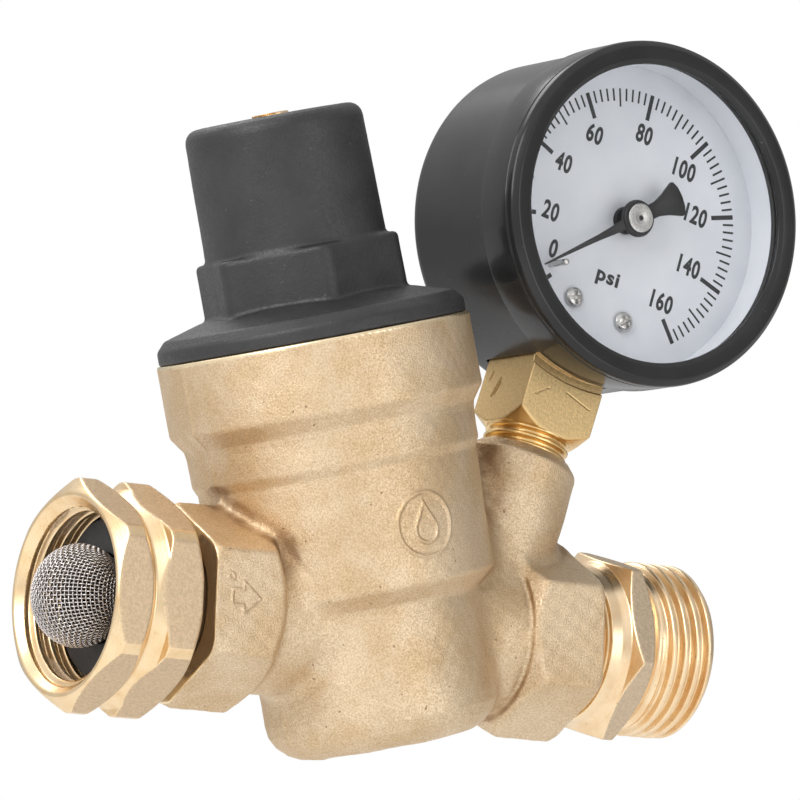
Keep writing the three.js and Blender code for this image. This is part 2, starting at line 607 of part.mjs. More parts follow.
function bourdonTube() {
  const { r, wide, deep, wall, from, sweep: turn, z } = TUBE;
  class Bow extends THREE.Curve {
    constructor(extra) {
      super();
      this.extra = extra;
    }

    getPoint(t) {
      const angle = radians(from + this.extra - t * (turn + this.extra));
      return new THREE.Vector3(r * Math.cos(angle), r * Math.sin(angle), z);
    }
  }
  const oval = (inset) => {
    const w = wide / 2 - inset;
    const d = deep / 2 - inset;
    return [[-w, -d + w], [0, -d], [w, -d + w], [w, d - w], [0, d], [-w, d - w]];
  };
  const flip = (outline) => outline.map(([x, y]) => [y, x]).reverse();
  const outer = solid(sweep(flip(oval(0)), new Bow(0), 32));
  const inner = solid(sweep(flip(oval(wall)), new Bow(3), 33));
  const tipAngle = radians(from - turn);
  const t = TUBE_TIP;
  const tip = box(t.wide, t.long, deep + t.extraDeep, r, 0, z).rotateZ(tipAngle);
  const ear = box(t.earWide, t.earLong, t.earDeep, r - wide - t.earInset, 0, z).rotateZ(tipAngle);
  return join(cut(outer, inner), solid(tip), solid(ear));
}

function hairspring() {
  const { thin, half, inner, outer, low, high, turns } = HAIRSPRING;
  const strip = [[half, -thin], [half, thin], [-half, thin], [-half, -thin]];
  return sweep(strip, new Helix(inner, outer, low, high, turns), 42);
}

// Assembly
const M = MATERIALS;

addPart('valve_body', regulator, valveBody(), M.castBrass);
addPart('swivel_nut', pipeAxis, swivelNut(), M.brass);
addPart('inlet_tailpiece', pipeAxis, inletTailpiece(), M.brass);
addPart('inlet_washer', pipeAxis, ring(WASHER.inner, WASHER.outer, WASHER.near, WASHER.far), M.rubber);
addPart('filter_screen', pipeAxis, filterScreen(), M.steel);
addPart('outlet_adapter', pipeAxis, outletAdapter(), M.brass);

addPart('valve_seat', bonnetAxis, valveSeat(), M.brass);
addPart('valve_disc', bonnetAxis, ring(STEM.hole, VALVE_DISC.r, VALVE_DISC.low, VALVE_DISC.high), M.rubber);
addPart('disc_holder', bonnetAxis, discHolder(), M.brass);
addPart('disc_nut', bonnetAxis, hexNut(DISC_NUT), M.brass);
addPart('stem', bonnetAxis, disc(STEM.r, STEM.bottom, STEM.top, 16), M.steel);
addPart('lower_plate', bonnetAxis, ring(STEM.hole, PLATE_R, LOWER_PLATE.low, LOWER_PLATE.high), M.brass);
addPart('diaphragm', bonnetAxis, diaphragm(), M.rubber);
addPart('upper_plate', bonnetAxis, upperPlate(), M.steel);
addPart('stem_nut', bonnetAxis, hexNut(STEM_NUT), M.brass);
addPart('slip_ring', bonnetAxis, ring(SLIP_RING.inner, SLIP_RING.outer, SLIP_RING.low, SLIP_RING.high), M.steel);
addPart('bonnet_oring', bonnetAxis, bonnetRing(), M.rubber);
addPart('bonnet', bonnetAxis, bonnet(), M.blackPlastic);
addPart('bonnet_insert', bonnetAxis, bonnetInsert(), M.brass);
addPart('spring_button', bonnetAxis, springButton(), M.brass);
addPart('adjusting_screw', bonnetAxis, adjustingScrew(), M.brass);
addPart('regulating_spring', bonnetAxis, regulatingSpring(), M.springSteel);

addPart('gauge_socket', stemAxis, gaugeSocket(), M.brass);
addPart('gauge_case', caseAxis, gaugeCase(), M.blackEnamel);
addPart('case_vent_plug', caseAxis, ventPlug(), M.rubber);
addPart('gauge_bezel', caseAxis, gaugeBezel(), M.blackEnamel);
addPart('gauge_lens', caseAxis, disc(LENS.r, LENS.low, LENS.high, 40), M.glass);
addPart('lens_gasket', caseAxis, ring(GASKET.inner, GASKET.outer, GASKET.low, GASKET.high), M.rubber);
addPart('dial_ring', caseAxis, ring(DIAL_RING.inner, DIAL_RING.outer, DIAL_RING.low, DIAL_RING.high), M.white);
addPart('gauge_dial', dialFace, gaugeDial(), M.white);
addPart('dial_screw_left', dialFace, dialScrew(-1), M.steel);
addPart('dial_screw_right', dialFace, dialScrew(1), M.steel);
addPart('zero_stop_pin', dialFace, stopPin(), M.steel);
addPart('pointer', dialFace, pointer(), M.blackEnamel);
addPart('pointer_cap', dialFace, disc(CAP.r, CAP.low, CAP.high, 20), M.steel);
addPart('pointer_arbor', dialFace, pointerArbor(), M.steel);
addPart('sector_gear', dialFace, sectorGear(), M.brass);
addPart('gauge_link', dialFace, gaugeLink(), M.brass);
addPart('movement_front_plate', dialFace, movementPlate(PLATES.frontBack, PLATES.frontFront), M.brass);
addPart('movement_rear_plate', dialFace, movementPlate(PLATES.rearBack, PLATES.rearFront), M.brass);
addPart('bourdon_tube', dialFace, bourdonTube(), M.brass);
addPart('hairspring', dialFace, hairspring(), M.springSteel);

for (const [i, [x, y]] of PILLARS.entries()) {
  const pillar = disc(PILLAR_R, PLATES.rearFront + GAP, PLATES.frontBack - GAP, 12).translate(x, y, 0);
  addPart(`movement_pillar_${i + 1}`, dialFace, pillar, M.brass);
}

export default regulator;
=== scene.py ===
"""Looks for the water pressure regulator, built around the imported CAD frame. Sizes are in mm."""
import json
import math
from types import SimpleNamespace as Sizes

import bmesh
import bpy
import numpy as np
import openvdb
from mathutils import Matrix, Vector


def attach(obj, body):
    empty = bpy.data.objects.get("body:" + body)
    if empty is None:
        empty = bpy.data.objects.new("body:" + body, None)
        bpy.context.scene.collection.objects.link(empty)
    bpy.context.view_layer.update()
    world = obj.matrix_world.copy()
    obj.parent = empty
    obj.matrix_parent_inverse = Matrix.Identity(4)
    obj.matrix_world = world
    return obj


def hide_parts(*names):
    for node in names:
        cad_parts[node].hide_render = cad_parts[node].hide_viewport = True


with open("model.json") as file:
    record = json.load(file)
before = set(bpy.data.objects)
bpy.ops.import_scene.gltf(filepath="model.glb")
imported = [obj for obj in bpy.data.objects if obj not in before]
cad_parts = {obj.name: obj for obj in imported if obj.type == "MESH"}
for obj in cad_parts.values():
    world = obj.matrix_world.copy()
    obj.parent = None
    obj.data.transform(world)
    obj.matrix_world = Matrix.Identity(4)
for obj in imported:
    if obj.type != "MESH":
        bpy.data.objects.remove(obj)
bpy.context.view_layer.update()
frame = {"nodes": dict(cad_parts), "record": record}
MM = 0.001

# Axes of the object: the pipe, the leaning bonnet, the leaning gauge stem and the dial face
BONNET_X = 53.0
BONNET_LEAN = 15.0
STEM_FOOT = (72.0, 0.57)
STEM_LEAN = 17.16
DIAL_UP_STEM = 67.4
DIAL_FORWARD = 9.0
CASE_RISE = 0.35


def shift(x, y, z):
    return Matrix.Translation((x * MM, y * MM, z * MM))


def turn(angle, axis):
    return Matrix.Rotation(math.radians(angle), 4, axis)


WORLD = Matrix.Identity(4)
PIPE = turn(90, "Y")
BONNET = shift(BONNET_X, 0, 0) @ turn(-BONNET_LEAN, "Y")
STEM = shift(STEM_FOOT[0], 0, STEM_FOOT[1]) @ turn(STEM_LEAN, "Y")
DIAL = STEM @ shift(0, -DIAL_FORWARD, DIAL_UP_STEM) @ turn(90, "X")
CASE_AXIS = DIAL @ shift(0, CASE_RISE, 0)

# Sizes, the same as the CAD model's where both have the feature
BODY = Sizes(bottom=-18.6, base=17.8, collar=24.0, top=43.8, neck=12.3, boss_flats=27.0, boss_near=22.7,
             boss_far=34.9)
GAUGE_BOSS = Sizes(r=8.95, shoulder=27.3, slope=0.94, slope_share=0.73, top=29.0, bore=6.95, bore_low=18.0)
CHAMBER = Sizes(low_r=10.5, low=-13.8, floor=2.0, seat_r=6.0, up_r=15.0, up=11.0, ledge=30.0, bore=20.5)
PORT = Sizes(r=10.85, near=25.5, far=40.0)
INLET_PASSAGE = ((27, 0, -1), (47, 0, -9), 5.5)
OUTLET_PASSAGE = ((79, 0, 0), (59, 0, 16), 5.0)
GAUGE_PASSAGE = Sizes(r=2.5, low=4.0, high=19.0)
HOSE = Sizes(major=13.5, minor=12.35, pitch=2.209)
NUT = Sizes(flats=31.2, corner=17.5, length=14.7, bore=13.8, relief=13.6, relief_low=8.6, lip=13.4,
            lip_r=10.8)
ADAPTER = Sizes(start=79.5, cone=90.5, hex_flats=26.7, corner=15.4, hex_turn=-16.0, hex_end=98.5,
                relief=12.1, thread=99.6, end=109.1, bore=8.0)
BONNET_HEX = Sizes(flats=28.4, low=46.0, high=57.7, turn=12.0)
SOCKET = Sizes(side=13.4, low=32.0, high=50.2, thread=6.65, root=5.95, pitch=1.41, thread_low=18.6,
               channel=1.8)
CASE = Sizes(r=26.2, wall=1.1, back=-20.6, front=-0.45, notch=14.0, notch_up=8.0, notch_deep=6.0,
             vent=3.0, vent_up=16.0)
DIAL_PLATE = Sizes(r=24.3, thick=0.6, hole=1.5)
SCALE = Sizes(full=160, start=233.5, sweep=278.1, outer=20.55, text_turn=2.16)
NUMERALS = {0: (220.9, 14.2), 20: (196.9, 13.7), 40: (163.4, 14.0), 60: (132.4, 14.2), 80: (94.1, 14.2),
            100: (57.1, 14.3), 120: (26.8, 13.6), 140: (-8.0, 13.7), 160: (-40.5, 14.0)}
FIGURE = Sizes(tall=3.0, wide=1.5, narrow=1.38)
UNIT = ("psi", 0.1, -9.76, 2.95, 1.42)
TICKS = ((20, 16.45, 0.7), (10, 17.7, 0.32), (2, 18.6, 0.32))
NEEDLE = Sizes(tip=19.0, hub=2.9, tail=-9.2, low=3.3, high=3.8, rest=135)
SCREW_AT = (4.85, -15.0)
PIN_AT = (-10.35, -11.8)
MESH_PITCH = 0.64
WIRE_SIDES = 6
WIRE_RADIUS = 0.1
WIRE_LIFT = 0.095

# The distance to a face at 45 degrees, as a share of the distance along an axis
SLANT = 0.7

# A face counts as a drawn flat where the flats stand out this much past the turned limits
FLAT_MARGIN = 0.02


# ---- outlines and signed distances
def soften(corners, steps=5):
    """Points of an open outline whose corners (x, y, radius) are rounded; (x, y) stays sharp."""
    points = []
    for i, corner in enumerate(corners):
        here = Vector(corner[:2])
        if len(corner) == 2 or i in (0, len(corners) - 1):
            points.append(tuple(here))
            continue
        before = Vector(corners[i - 1][:2]) - here
        after = Vector(corners[i + 1][:2]) - here
        half = before.angle(after) / 2
        reach = min(corner[2] / math.tan(half), 0.48 * before.length, 0.48 * after.length)
        radius = reach * math.tan(half)
        middle = (before.normalized() + after.normalized()).normalized()
        centre = here + middle * (radius / math.sin(half))
        start = here + before.normalized() * reach - centre
        end = here + after.normalized() * reach - centre
        points += [tuple(centre + start.slerp(end, k / steps) * radius) for k in range(steps + 1)]
    return points


class Turned:
    """The signed distance to a solid of revolution whose outline starts and ends on the axis."""

    CELL = 0.12
    MARGIN = 4.0

    def __init__(self, corners):
        outline = np.array(soften(corners), np.float32)
        ring = np.vstack([outline, outline[::-1] * (-1, 1)])
        self.low = outline[:, 1].min() - self.MARGIN
        r = np.arange(0, outline[:, 0].max() + self.MARGIN, self.CELL, np.float32)
        h = np.arange(self.low, outline[:, 1].max() + self.MARGIN, self.CELL, np.float32)
        px, py = np.meshgrid(r, h, indexing="ij")
        nearest = np.full(px.shape, 1e9, np.float32)
        inside = np.zeros(px.shape, bool)
        for (ax, ay), (bx, by) in zip(ring, np.roll(ring, -1, 0)):
            ex, ey = bx - ax, by - ay
            length = ex * ex + ey * ey
            if length < 1e-9:
                continue
            t = np.clip(((px - ax) * ex + (py - ay) * ey) / length, 0, 1)
            nearest = np.minimum(nearest, (px - ax - t * ex) ** 2 + (py - ay - t * ey) ** 2)
            if ey != 0:
                crosses = (ay > py) != (by > py)
                inside ^= crosses & (px < ax + (py - ay) * ex / ey)
        self.table = np.sqrt(nearest) * np.where(inside, -1, 1)

    def __call__(self, r, h):
        rows, columns = self.table.shape
        u = np.clip(r / self.CELL, 0, rows - 1.001)
        v = np.clip((h - self.low) / self.CELL, 0, columns - 1.001)
        i = u.astype(np.int32)
        j = v.astype(np.int32)
        u = u - i
        v = v - j
        low = self.table[i, j] * (1 - u) + self.table[i + 1, j] * u
        high = self.table[i, j + 1] * (1 - u) + self.table[i + 1, j + 1] * u
        return low * (1 - v) + high * v


def fuse(a, b, k):
    """The union of two distances with a fillet about k wide."""
    near = np.maximum(k - np.abs(a - b), 0) / k
    return np.minimum(a, b) - near * near * k / 4


def meet(a, b, k):
    """The overlap of two distances with a rounded edge."""
    return -fuse(-a, -b, k)


def carve(a, b, k):
    """What is left of a after b is cut away, with a rounded edge."""
    return meet(a, -b, k)


def hexagon(x, y, flats, towards, k):
    """A hexagon across flats with one flat facing the given angle and softened corners."""
    sides = []
    for i in range(3):
        angle = math.radians(towards + 60 * i)
        sides.append(np.abs(x * math.cos(angle) + y * math.sin(angle)) - flats / 2)
    return meet(meet(sides[0], sides[1], k), sides[2], k)


def rod(r, h, radius, low, high, k=0.2):
    return meet(r - radius, np.abs(h - (low + high) / 2) - (high - low) / 2, k)


def thread(r, h, angle, crest, root, pitch):
    """A right-hand thread's surface with rounded crests and roots."""
    wave = np.cos((h / pitch - angle / (2 * math.pi)) * 2 * math.pi)
    ridge = np.clip(0.5 + 0.68 * wave, 0, 1)
    ridge = ridge * ridge * (3 - 2 * ridge)
    return (r - root - (crest - root) * ridge) * SLANT


def capsule(x, y, z, start, end, radius):
    """A round-ended rod between two points."""
    ax, ay, az = (b - a for a, b in zip(start, end))
    length = ax * ax + ay * ay + az * az
    t = ((x - start[0]) * ax + (y - start[1]) * ay + (z - start[2]) * az) / length
    t = np.clip(t, 0, 1)
    return np.sqrt((x - start[0] - t * ax) ** 2 + (y - start[1] - t * ay) ** 2
                   + (z - start[2] - t * az) ** 2) - radius


def unevenness(x, y, z):
    """The slight waviness of a sand casting."""
    broad = np.sin(0.55 * x + 1.3) * np.sin(0.47 * y + 0.4) * np.sin(0.51 * z + 2.1)
    fine = np.sin(1.9 * x + 0.5 * z) * np.sin(2.3 * y + 1.1) * np.sin(1.7 * z - 0.6 * x)
    return 0.09 * broad + 0.03 * fine


# ---- from distances to meshes
def slope(shape, points, step):
    """The shape's gradient at each point."""
    parts = []
    for axis in range(3):
        reach = np.zeros(3, np.float32)
        reach[axis] = step
        parts.append((shape(*(points + reach).T) - shape(*(points - reach).T)) / (2 * step))
    return np.stack(parts, 1)


def grow(shape, low, high, voxel):
    """Points and quads of the shape's surface in a box. Only cells near the surface are sampled finely."""
    block = 4
    low = np.array(low, np.float32)
    blocks = np.ceil((np.array(high) - low) / (voxel * block)).astype(int) + 1
    wide = voxel * block
    centres = [low[a] + (np.arange(blocks[a], dtype=np.float32) + 0.5) * wide - voxel / 2 for a in range(3)]
    rough = shape(*np.meshgrid(*centres, indexing="ij"))
    values = np.where(rough < 0, -wide, wide).astype(np.float32)
    for axis in range(3):
        values = np.repeat(values, block, axis)
    active = np.argwhere(np.abs(rough) < wide * 1.35)
    steps = np.stack(np.meshgrid(*[np.arange(block)] * 3, indexing="ij"), -1).reshape(-1, 3)
    cells = (active[:, None, :] * block + steps).reshape(-1, 3)
    for part in np.array_split(cells, max(1, len(cells) // 1_000_000)):
        place = low + part.astype(np.float32) * voxel
        values[tuple(part.T)] = shape(*place.T)
    grid = openvdb.FloatGrid(wide)
    grid.copyFromArray(values)
    points, quads = grid.convertToQuads()
    points = low + points.astype(np.float32) * voxel
    for _ in range(2):
        gradient = slope(shape, points, voxel / 4)
        steepness = np.maximum((gradient ** 2).sum(1), 0.2)
        points = points - gradient * np.clip(shape(*points.T) / steepness, -voxel, voxel)[:, None]
    return points, quads


def direction(shape, points, step):
    gradient = slope(shape, points, step)
    return gradient / np.maximum(np.linalg.norm(gradient, axis=1), 1e-6)[:, None]


def grown_mesh(name, shape, low, high, voxel, reach, machined=None, skin=None):
    """A mesh of the shape with its own normals, and with masks of its hollows, edges and machined faces.
    The hollows and edges are those of the skin: the shape itself, or the shape before it was bored."""
    skin = skin or shape
    points, quads = grow(shape, low, high, voxel)
    normals = direction(shape, points, voxel / 2)
    a, b, c, d = (points[quads[:, k]] for k in range(4))
    facing = (np.cross(c - a, d - b) * normals[quads[:, 0]]).sum(1)
    if (facing < 0).mean() > 0.5:
        quads = quads[:, ::-1]
    mesh = bpy.data.meshes.new(name)
    mesh.vertices.add(len(points))
    mesh.vertices.foreach_set("co", (points * MM).astype(np.float32).ravel())
    mesh.loops.add(quads.size)
    mesh.loops.foreach_set("vertex_index", quads.astype(np.int32).ravel())
    mesh.polygons.add(len(quads))
    mesh.polygons.foreach_set("loop_start", np.arange(0, quads.size, 4, dtype=np.int32))
    mesh.update(calc_edges=True)
    mesh.validate()
    hollow = np.clip(1 - skin(*(points + normals * reach).T) / reach, 0, 1)
    edge = np.clip(1 + skin(*(points - normals * reach / 2).T) / (reach / 2), 0, 1)
    masks = {"hollow": hollow, "edge": edge}
    if machined is not None:
        masks["machined"] = machined(*points.T)
    for title, mask in masks.items():
        layer = mesh.attributes.new(title, "FLOAT", "POINT")
        layer.data.foreach_set("value", mask.astype(np.float32))
    mesh.shade_smooth()
    mesh.normals_split_custom_set_from_vertices(normals.astype(np.float32))
    return mesh


# ---- meshes from outlines
def listed_mesh(name, points, faces, sharp=28):
    mesh = bpy.data.meshes.new(name)
    mesh.from_pydata([tuple(c * MM for c in p) for p in points], [], [tuple(f) for f in faces])
    mesh.validate()
    mesh.shade_smooth()
    mesh.set_sharp_from_angle(angle=math.radians(sharp))
    return mesh


def lathe(corners, segments=128, closed=False):
    """Points and faces of an outline of (radius, height, rounding) corners turned about local Z."""
    outline = soften(corners, 4)
    if closed:
        outline = outline[:-1]
    points, rings, faces = [], [], []
    for r, h in outline:
        if r < 1e-6:
            rings.append([len(points)])
            points.append((0.0, 0.0, h))
            continue
        rings.append(list(range(len(points), len(points) + segments)))
        for k in range(segments):
            angle = 2 * math.pi * k / segments
            points.append((r * math.cos(angle), r * math.sin(angle), h))
    pairs = list(zip(rings, rings[1:] + rings[:1])) if closed else list(zip(rings, rings[1:]))
    for low, high in pairs:
        for k in range(segments):
            n = (k + 1) % segments
            if len(low) == 1:
                faces.append((low[0], high[n], high[k]))
            elif len(high) == 1:
                faces.append((low[k], low[n], high[0]))
            else:
                faces.append((low[k], low[n], high[n], high[k]))
    return points, faces


def ring_outline(inner, outer, low, high, soft):
    return [(inner, low), (outer, low, soft), (outer, high, soft), (inner, high, soft), (inner, low)]


def finished_mesh(name, form):
    mesh = bpy.data.meshes.new(name)
    form.to_mesh(mesh)
    form.free()
    return mesh


def plate(name, outline, low, high, soft):
    """A flat plate with a softened rim, from an outline of points."""
    form = bmesh.new()
    face = form.faces.new([form.verts.new((x * MM, y * MM, low * MM)) for x, y in outline])
    face.normal_update()
    if face.normal.z > 0:
        face.normal_flip()
    raised = bmesh.ops.extrude_face_region(form, geom=[face])
    for vert in [g for g in raised["geom"] if isinstance(g, bmesh.types.BMVert)]:
        vert.co.z = high * MM
    bmesh.ops.recalc_face_normals(form, faces=form.faces)
    rim = [e for e in form.edges if abs(e.verts[0].co.z - e.verts[1].co.z) < 1e-9]
    bmesh.ops.bevel(form, geom=rim, offset=soft * MM, segments=2, profile=0.5, affect="EDGES")
    mesh = finished_mesh(name, form)
    mesh.shade_smooth()
    mesh.set_sharp_from_angle(angle=math.radians(35))
    return mesh


def tubes(paths, sides, radius):
    """Points and faces of many wires; each path is (points, surface normals)."""
    points, faces = [], []
    around = np.arange(sides) * 2 * math.pi / sides
    total = 0
    for path, normals in paths:
        along = np.gradient(path, axis=0)
        along /= np.linalg.norm(along, axis=1)[:, None]
        across = np.cross(along, normals)
        across /= np.linalg.norm(across, axis=1)[:, None]
        out = np.cross(across, along)
        rim = (path[:, None, :] + radius * (np.cos(around)[None, :, None] * across[:, None, :]
                                            + np.sin(around)[None, :, None] * out[:, None, :]))
        count = len(path)
        points.append(rim.reshape(-1, 3))
        start = total + np.arange(count - 1)[:, None] * sides
        k = np.arange(sides)[None, :]
        n = (k + 1) % sides
        corners = [start + k, start + n, start + sides + n, start + sides + k]
        faces.append(np.stack(corners, -1).reshape(-1, 4))
        total += count * sides
    return np.vstack(points), np.vstack(faces)


def placed(name, data):
    """A new object in the scene."""
    piece = bpy.data.objects.new(name, data)
    bpy.context.scene.collection.objects.link(piece)
    return piece


def note_local(mesh, to_local):
    """Stores each point's place on its own axis, which the finishes are drawn from."""
    count = len(mesh.vertices)
    points = np.empty(count * 3, np.float32)
    mesh.vertices.foreach_get("co", points)
    grid = np.array(to_local.to_3x3().transposed(), np.float32)
    local = points.reshape(-1, 3) @ grid + np.array(to_local.translation, np.float32)
    layer = mesh.attributes.new("local", "FLOAT_VECTOR", "POINT")
    layer.data.foreach_set("vector", local.astype(np.float32).ravel())


def add_piece(mesh, place, finish, replaces=(), body="regulator_body"):
    """Puts a mesh at an axis of the object, on its CAD body, with its finish."""
    note_local(mesh, WORLD)
    mesh.transform(place)
    piece = placed(mesh.name, mesh)
    mesh.materials.append(FINISHES[finish])
    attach(piece, body)
    if replaces:
        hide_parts(*replaces)


def grown_piece(name, shape, low, high, voxel, reach, place, finish, replaces, body="regulator_body",
                **masks):
    """A piece grown from a signed distance in the axes of its place."""
    add_piece(grown_mesh(name, shape, low, high, voxel, reach, **masks), place, finish, replaces, body)


def turned_piece(name, corners, place, finish, replaces=(), body="regulator_body", **lathed):
    """A piece turned from an outline about the axis of its place."""
    sharp = lathed.pop("sharp", 28)
    add_piece(listed_mesh(name, *lathe(corners, **lathed), sharp=sharp), place, finish, replaces, body)


# ---- materials
class Paint:
    """A Principled material and short ways to add procedural detail to it."""

    def __init__(self, name, colour, roughness, metallic=0.0, **sockets):
        self.material = bpy.data.materials.new(name)
        self.material.use_nodes = True
        self.tree = self.material.node_tree
        self.shader = self.tree.nodes["Principled BSDF"]
        self.shader.inputs["Base Color"].default_value = (*colour, 1)
        self.shader.inputs["Roughness"].default_value = roughness
        self.shader.inputs["Metallic"].default_value = metallic
        for title, value in sockets.items():
            self.shader.inputs[title.replace("_", " ").title().replace("Ior", "IOR")].default_value = value
        self.coordinates = self.add("Attribute", attribute_name="local").outputs["Vector"]

    def add(self, kind, **settings):
        node = self.tree.nodes.new("ShaderNode" + kind)
        for title, value in settings.items():
            setattr(node, title, value)
        return node

    def plug(self, source, target):
        if isinstance(source, bpy.types.NodeSocket):
            self.tree.links.new(source, target)
        elif isinstance(source, tuple) and len(source) == 3 and target.type == "RGBA":
            target.default_value = (*source, 1)
        else:
            target.default_value = source

    def maths(self, operation, a, b=0.0):
        node = self.add("Math", operation=operation)
        self.plug(a, node.inputs[0])
        self.plug(b, node.inputs[1])
        return node.outputs[0]

    def times(self, a, b):
        return self.maths("MULTIPLY", a, b)

    def noise(self, size, detail=2.0, rough=0.55, coordinates=None):
        """Noise whose lumps are about size mm across."""
        node = self.add("TexNoise")
        self.plug(coordinates or self.coordinates, node.inputs["Vector"])
        node.inputs["Scale"].default_value = 1 / (size * MM)
        node.inputs["Detail"].default_value = detail
        node.inputs["Roughness"].default_value = rough
        return node.outputs["Fac"]

    def around_axis(self):
        """Coordinates that are the same all round the local Z axis, for turning marks."""
        apart = self.add("SeparateXYZ")
        self.plug(self.coordinates, apart.inputs[0])
        x2, y2 = (self.times(apart.outputs[k], apart.outputs[k]) for k in range(2))
        radius = self.maths("SQRT", self.maths("ADD", x2, y2))
        together = self.add("CombineXYZ")
        self.plug(radius, together.inputs[0])
        self.plug(apart.outputs[2], together.inputs[2])
        return together.outputs[0]

    def mask(self, title):
        return self.add("Attribute", attribute_name=title).outputs["Fac"]

    def steps(self, factor, low, high):
        """The factor eased from 0 at low to 1 at high."""
        node = self.add("MapRange", interpolation_type="SMOOTHSTEP")
        for k, value in enumerate((factor, low, high)):
            self.plug(value, node.inputs[k])
        return node.outputs[0]

    def mix(self, factor, a, b, blend="MIX"):
        node = self.add("Mix", data_type="RGBA", blend_type=blend)
        self.plug(factor, node.inputs[0])
        self.plug(a, node.inputs[6])
        self.plug(b, node.inputs[7])
        return node.outputs[2]

    def tinted(self, colour, factor, strength, tint):
        """The colour, with some of the tint where the factor is high."""
        return self.mix(self.times(factor, strength), colour, tint)

    def blended(self, factor, a, b):
        node = self.add("Mix", data_type="FLOAT")
        self.plug(factor, node.inputs[0])
        self.plug(a, node.inputs[2])
        self.plug(b, node.inputs[3])
        return node.outputs[0]

    def bump(self, height, depth, strength=1.0, normal=None):
        """Bump of the given depth in mm."""
        node = self.add("Bump")
        node.inputs["Distance"].default_value = depth * MM
        self.plug(strength, node.inputs["Strength"])
        self.plug(height, node.inputs["Height"])
        if normal is not None:
            self.plug(normal, node.inputs["Normal"])
        return node.outputs["Normal"]

    def finish(self, colour=None, roughness=None, normal=None):
        pairs = {"Base Color": colour, "Roughness": roughness, "Normal": normal}
        for title, source in pairs.items():
            if source is not None:
                self.plug(source, self.shader.inputs[title])
        return self.material


def cast_brass():
    """Sand-cast brass: matte, sparkling grain, brown painted shade in the hollows and a little pale on
    rounded edges.
    """
    p = Paint("cast_brass", (0.74, 0.58, 0.38), 0.5, 0.9)
    mottle = p.steps(p.noise(9, 3), 0.35, 0.65)
    colour = p.mix(mottle, (0.67, 0.50, 0.31), (0.75, 0.60, 0.42))
    grain = p.noise(0.26, 2, 0.6)
    colour = p.mix(p.steps(grain, 0.3, 0.7), p.mix(1.0, colour, (0.78, 0.74, 0.68), "MULTIPLY"), colour)
    # painted shade: brown darkening in the hollows and creases, broken into patches by noise
    stain_and_shade = p.times(p.steps(p.mask("hollow"), 0.12, 0.5), p.steps(p.noise(5, 3), 0.25, 0.6))
    colour = p.tinted(colour, stain_and_shade, 0.75, (0.26, 0.14, 0.06))
    colour = p.tinted(colour, p.steps(p.mask("edge"), 0.4, 0.95), 0.3, (0.95, 0.88, 0.78))
    pits = p.steps(p.noise(0.8, 1), 0.76, 0.8)
    colour = p.tinted(colour, pits, 0.7, (0.2, 0.11, 0.05))
    machined = p.mask("machined")
    colour = p.mix(machined, colour, (0.86, 0.70, 0.46))
    rough = p.blended(machined, p.blended(p.steps(grain, 0.35, 0.65), 0.62, 0.4), 0.26)
    height = p.maths("SUBTRACT", p.maths("ADD", grain, p.times(p.noise(1.4, 2), 0.6)), pits)
    normal = p.bump(height, 0.1, p.blended(machined, 0.9, 0.06))
    return p.finish(colour, rough, normal)


def bar_brass(name, flat_colour, bright_colour, deep_colour, stain_size):
    """Brass bar: matte drawn flats, satin turned faces with fine turning marks and brown stains, which are
    made darker in the hollows as painted shade.
    """
    p = Paint(name, bright_colour, 0.3, 1.0)
    turned = p.mask("machined")
    grain = p.noise(0.45, 3, 0.7)
    flat = p.mix(p.steps(grain, 0.35, 0.65), tuple(c * 0.8 for c in flat_colour), flat_colour)
    cloud = p.steps(p.noise(4, 3), 0.4, 0.7)
    bright = p.tinted(bright_colour, cloud, 0.5, deep_colour)
    stain_and_shade = p.steps(p.noise(stain_size, 4, 0.65), 0.62, 0.75)
    # painted shade: the brown stains are made much stronger in the hollows
    hollow = p.steps(p.mask("hollow"), 0.25, 0.8)
    colour = p.mix(turned, flat, bright)
    colour = p.tinted(colour, stain_and_shade, p.maths("ADD", p.times(hollow, 0.6), 0.12), (0.26, 0.13, 0.05))
    specks = p.steps(p.noise(0.6, 1), 0.77, 0.8)
    colour = p.tinted(colour, specks, 0.6, (0.14, 0.07, 0.03))
    marks = p.noise(0.16, 2, 0.6, p.around_axis())
    rough = p.blended(turned, p.blended(grain, 0.42, 0.62), p.blended(marks, 0.22, 0.36))
    normal = p.bump(grain, 0.09, p.blended(turned, 0.7, 0.05))
    normal = p.bump(marks, 0.014, p.blended(turned, 0.0, 1.0), normal)
    return p.finish(colour, rough, normal)


def plain_metal(name, colour, roughness, mark=0.2):
    """A turned or stamped metal with fine marks round its axis."""
    p = Paint(name, colour, roughness, 1.0)
    marks = p.noise(mark, 2, 0.6, p.around_axis())
    tint = p.mix(p.steps(p.noise(2.5, 3), 0.35, 0.7), colour, tuple(c * 0.86 for c in colour))
    rough = p.blended(marks, roughness * 0.75, roughness * 1.3)
    return p.finish(tint, rough, p.bump(marks, 0.012))


def moulded_plastic():
    """Black glass-filled nylon with a fine matte texture."""
    p = Paint("bonnet_plastic", (0.026, 0.026, 0.027), 0.5)
    grain = p.noise(0.5, 3, 0.7)
    colour = p.mix(p.steps(p.noise(6, 3), 0.3, 0.7), (0.017, 0.017, 0.018), (0.026, 0.026, 0.027))
    colour = p.tinted(colour, p.steps(p.mask("edge"), 0.3, 0.9), 0.6, (0.075, 0.075, 0.075))
    specks = p.steps(p.noise(0.8, 1), 0.77, 0.8)
    colour = p.tinted(colour, specks, 0.4, (0.14, 0.14, 0.14))
    rough = p.blended(p.steps(grain, 0.35, 0.65), 0.55, 0.38)
    return p.finish(colour, rough, p.bump(grain, 0.08))


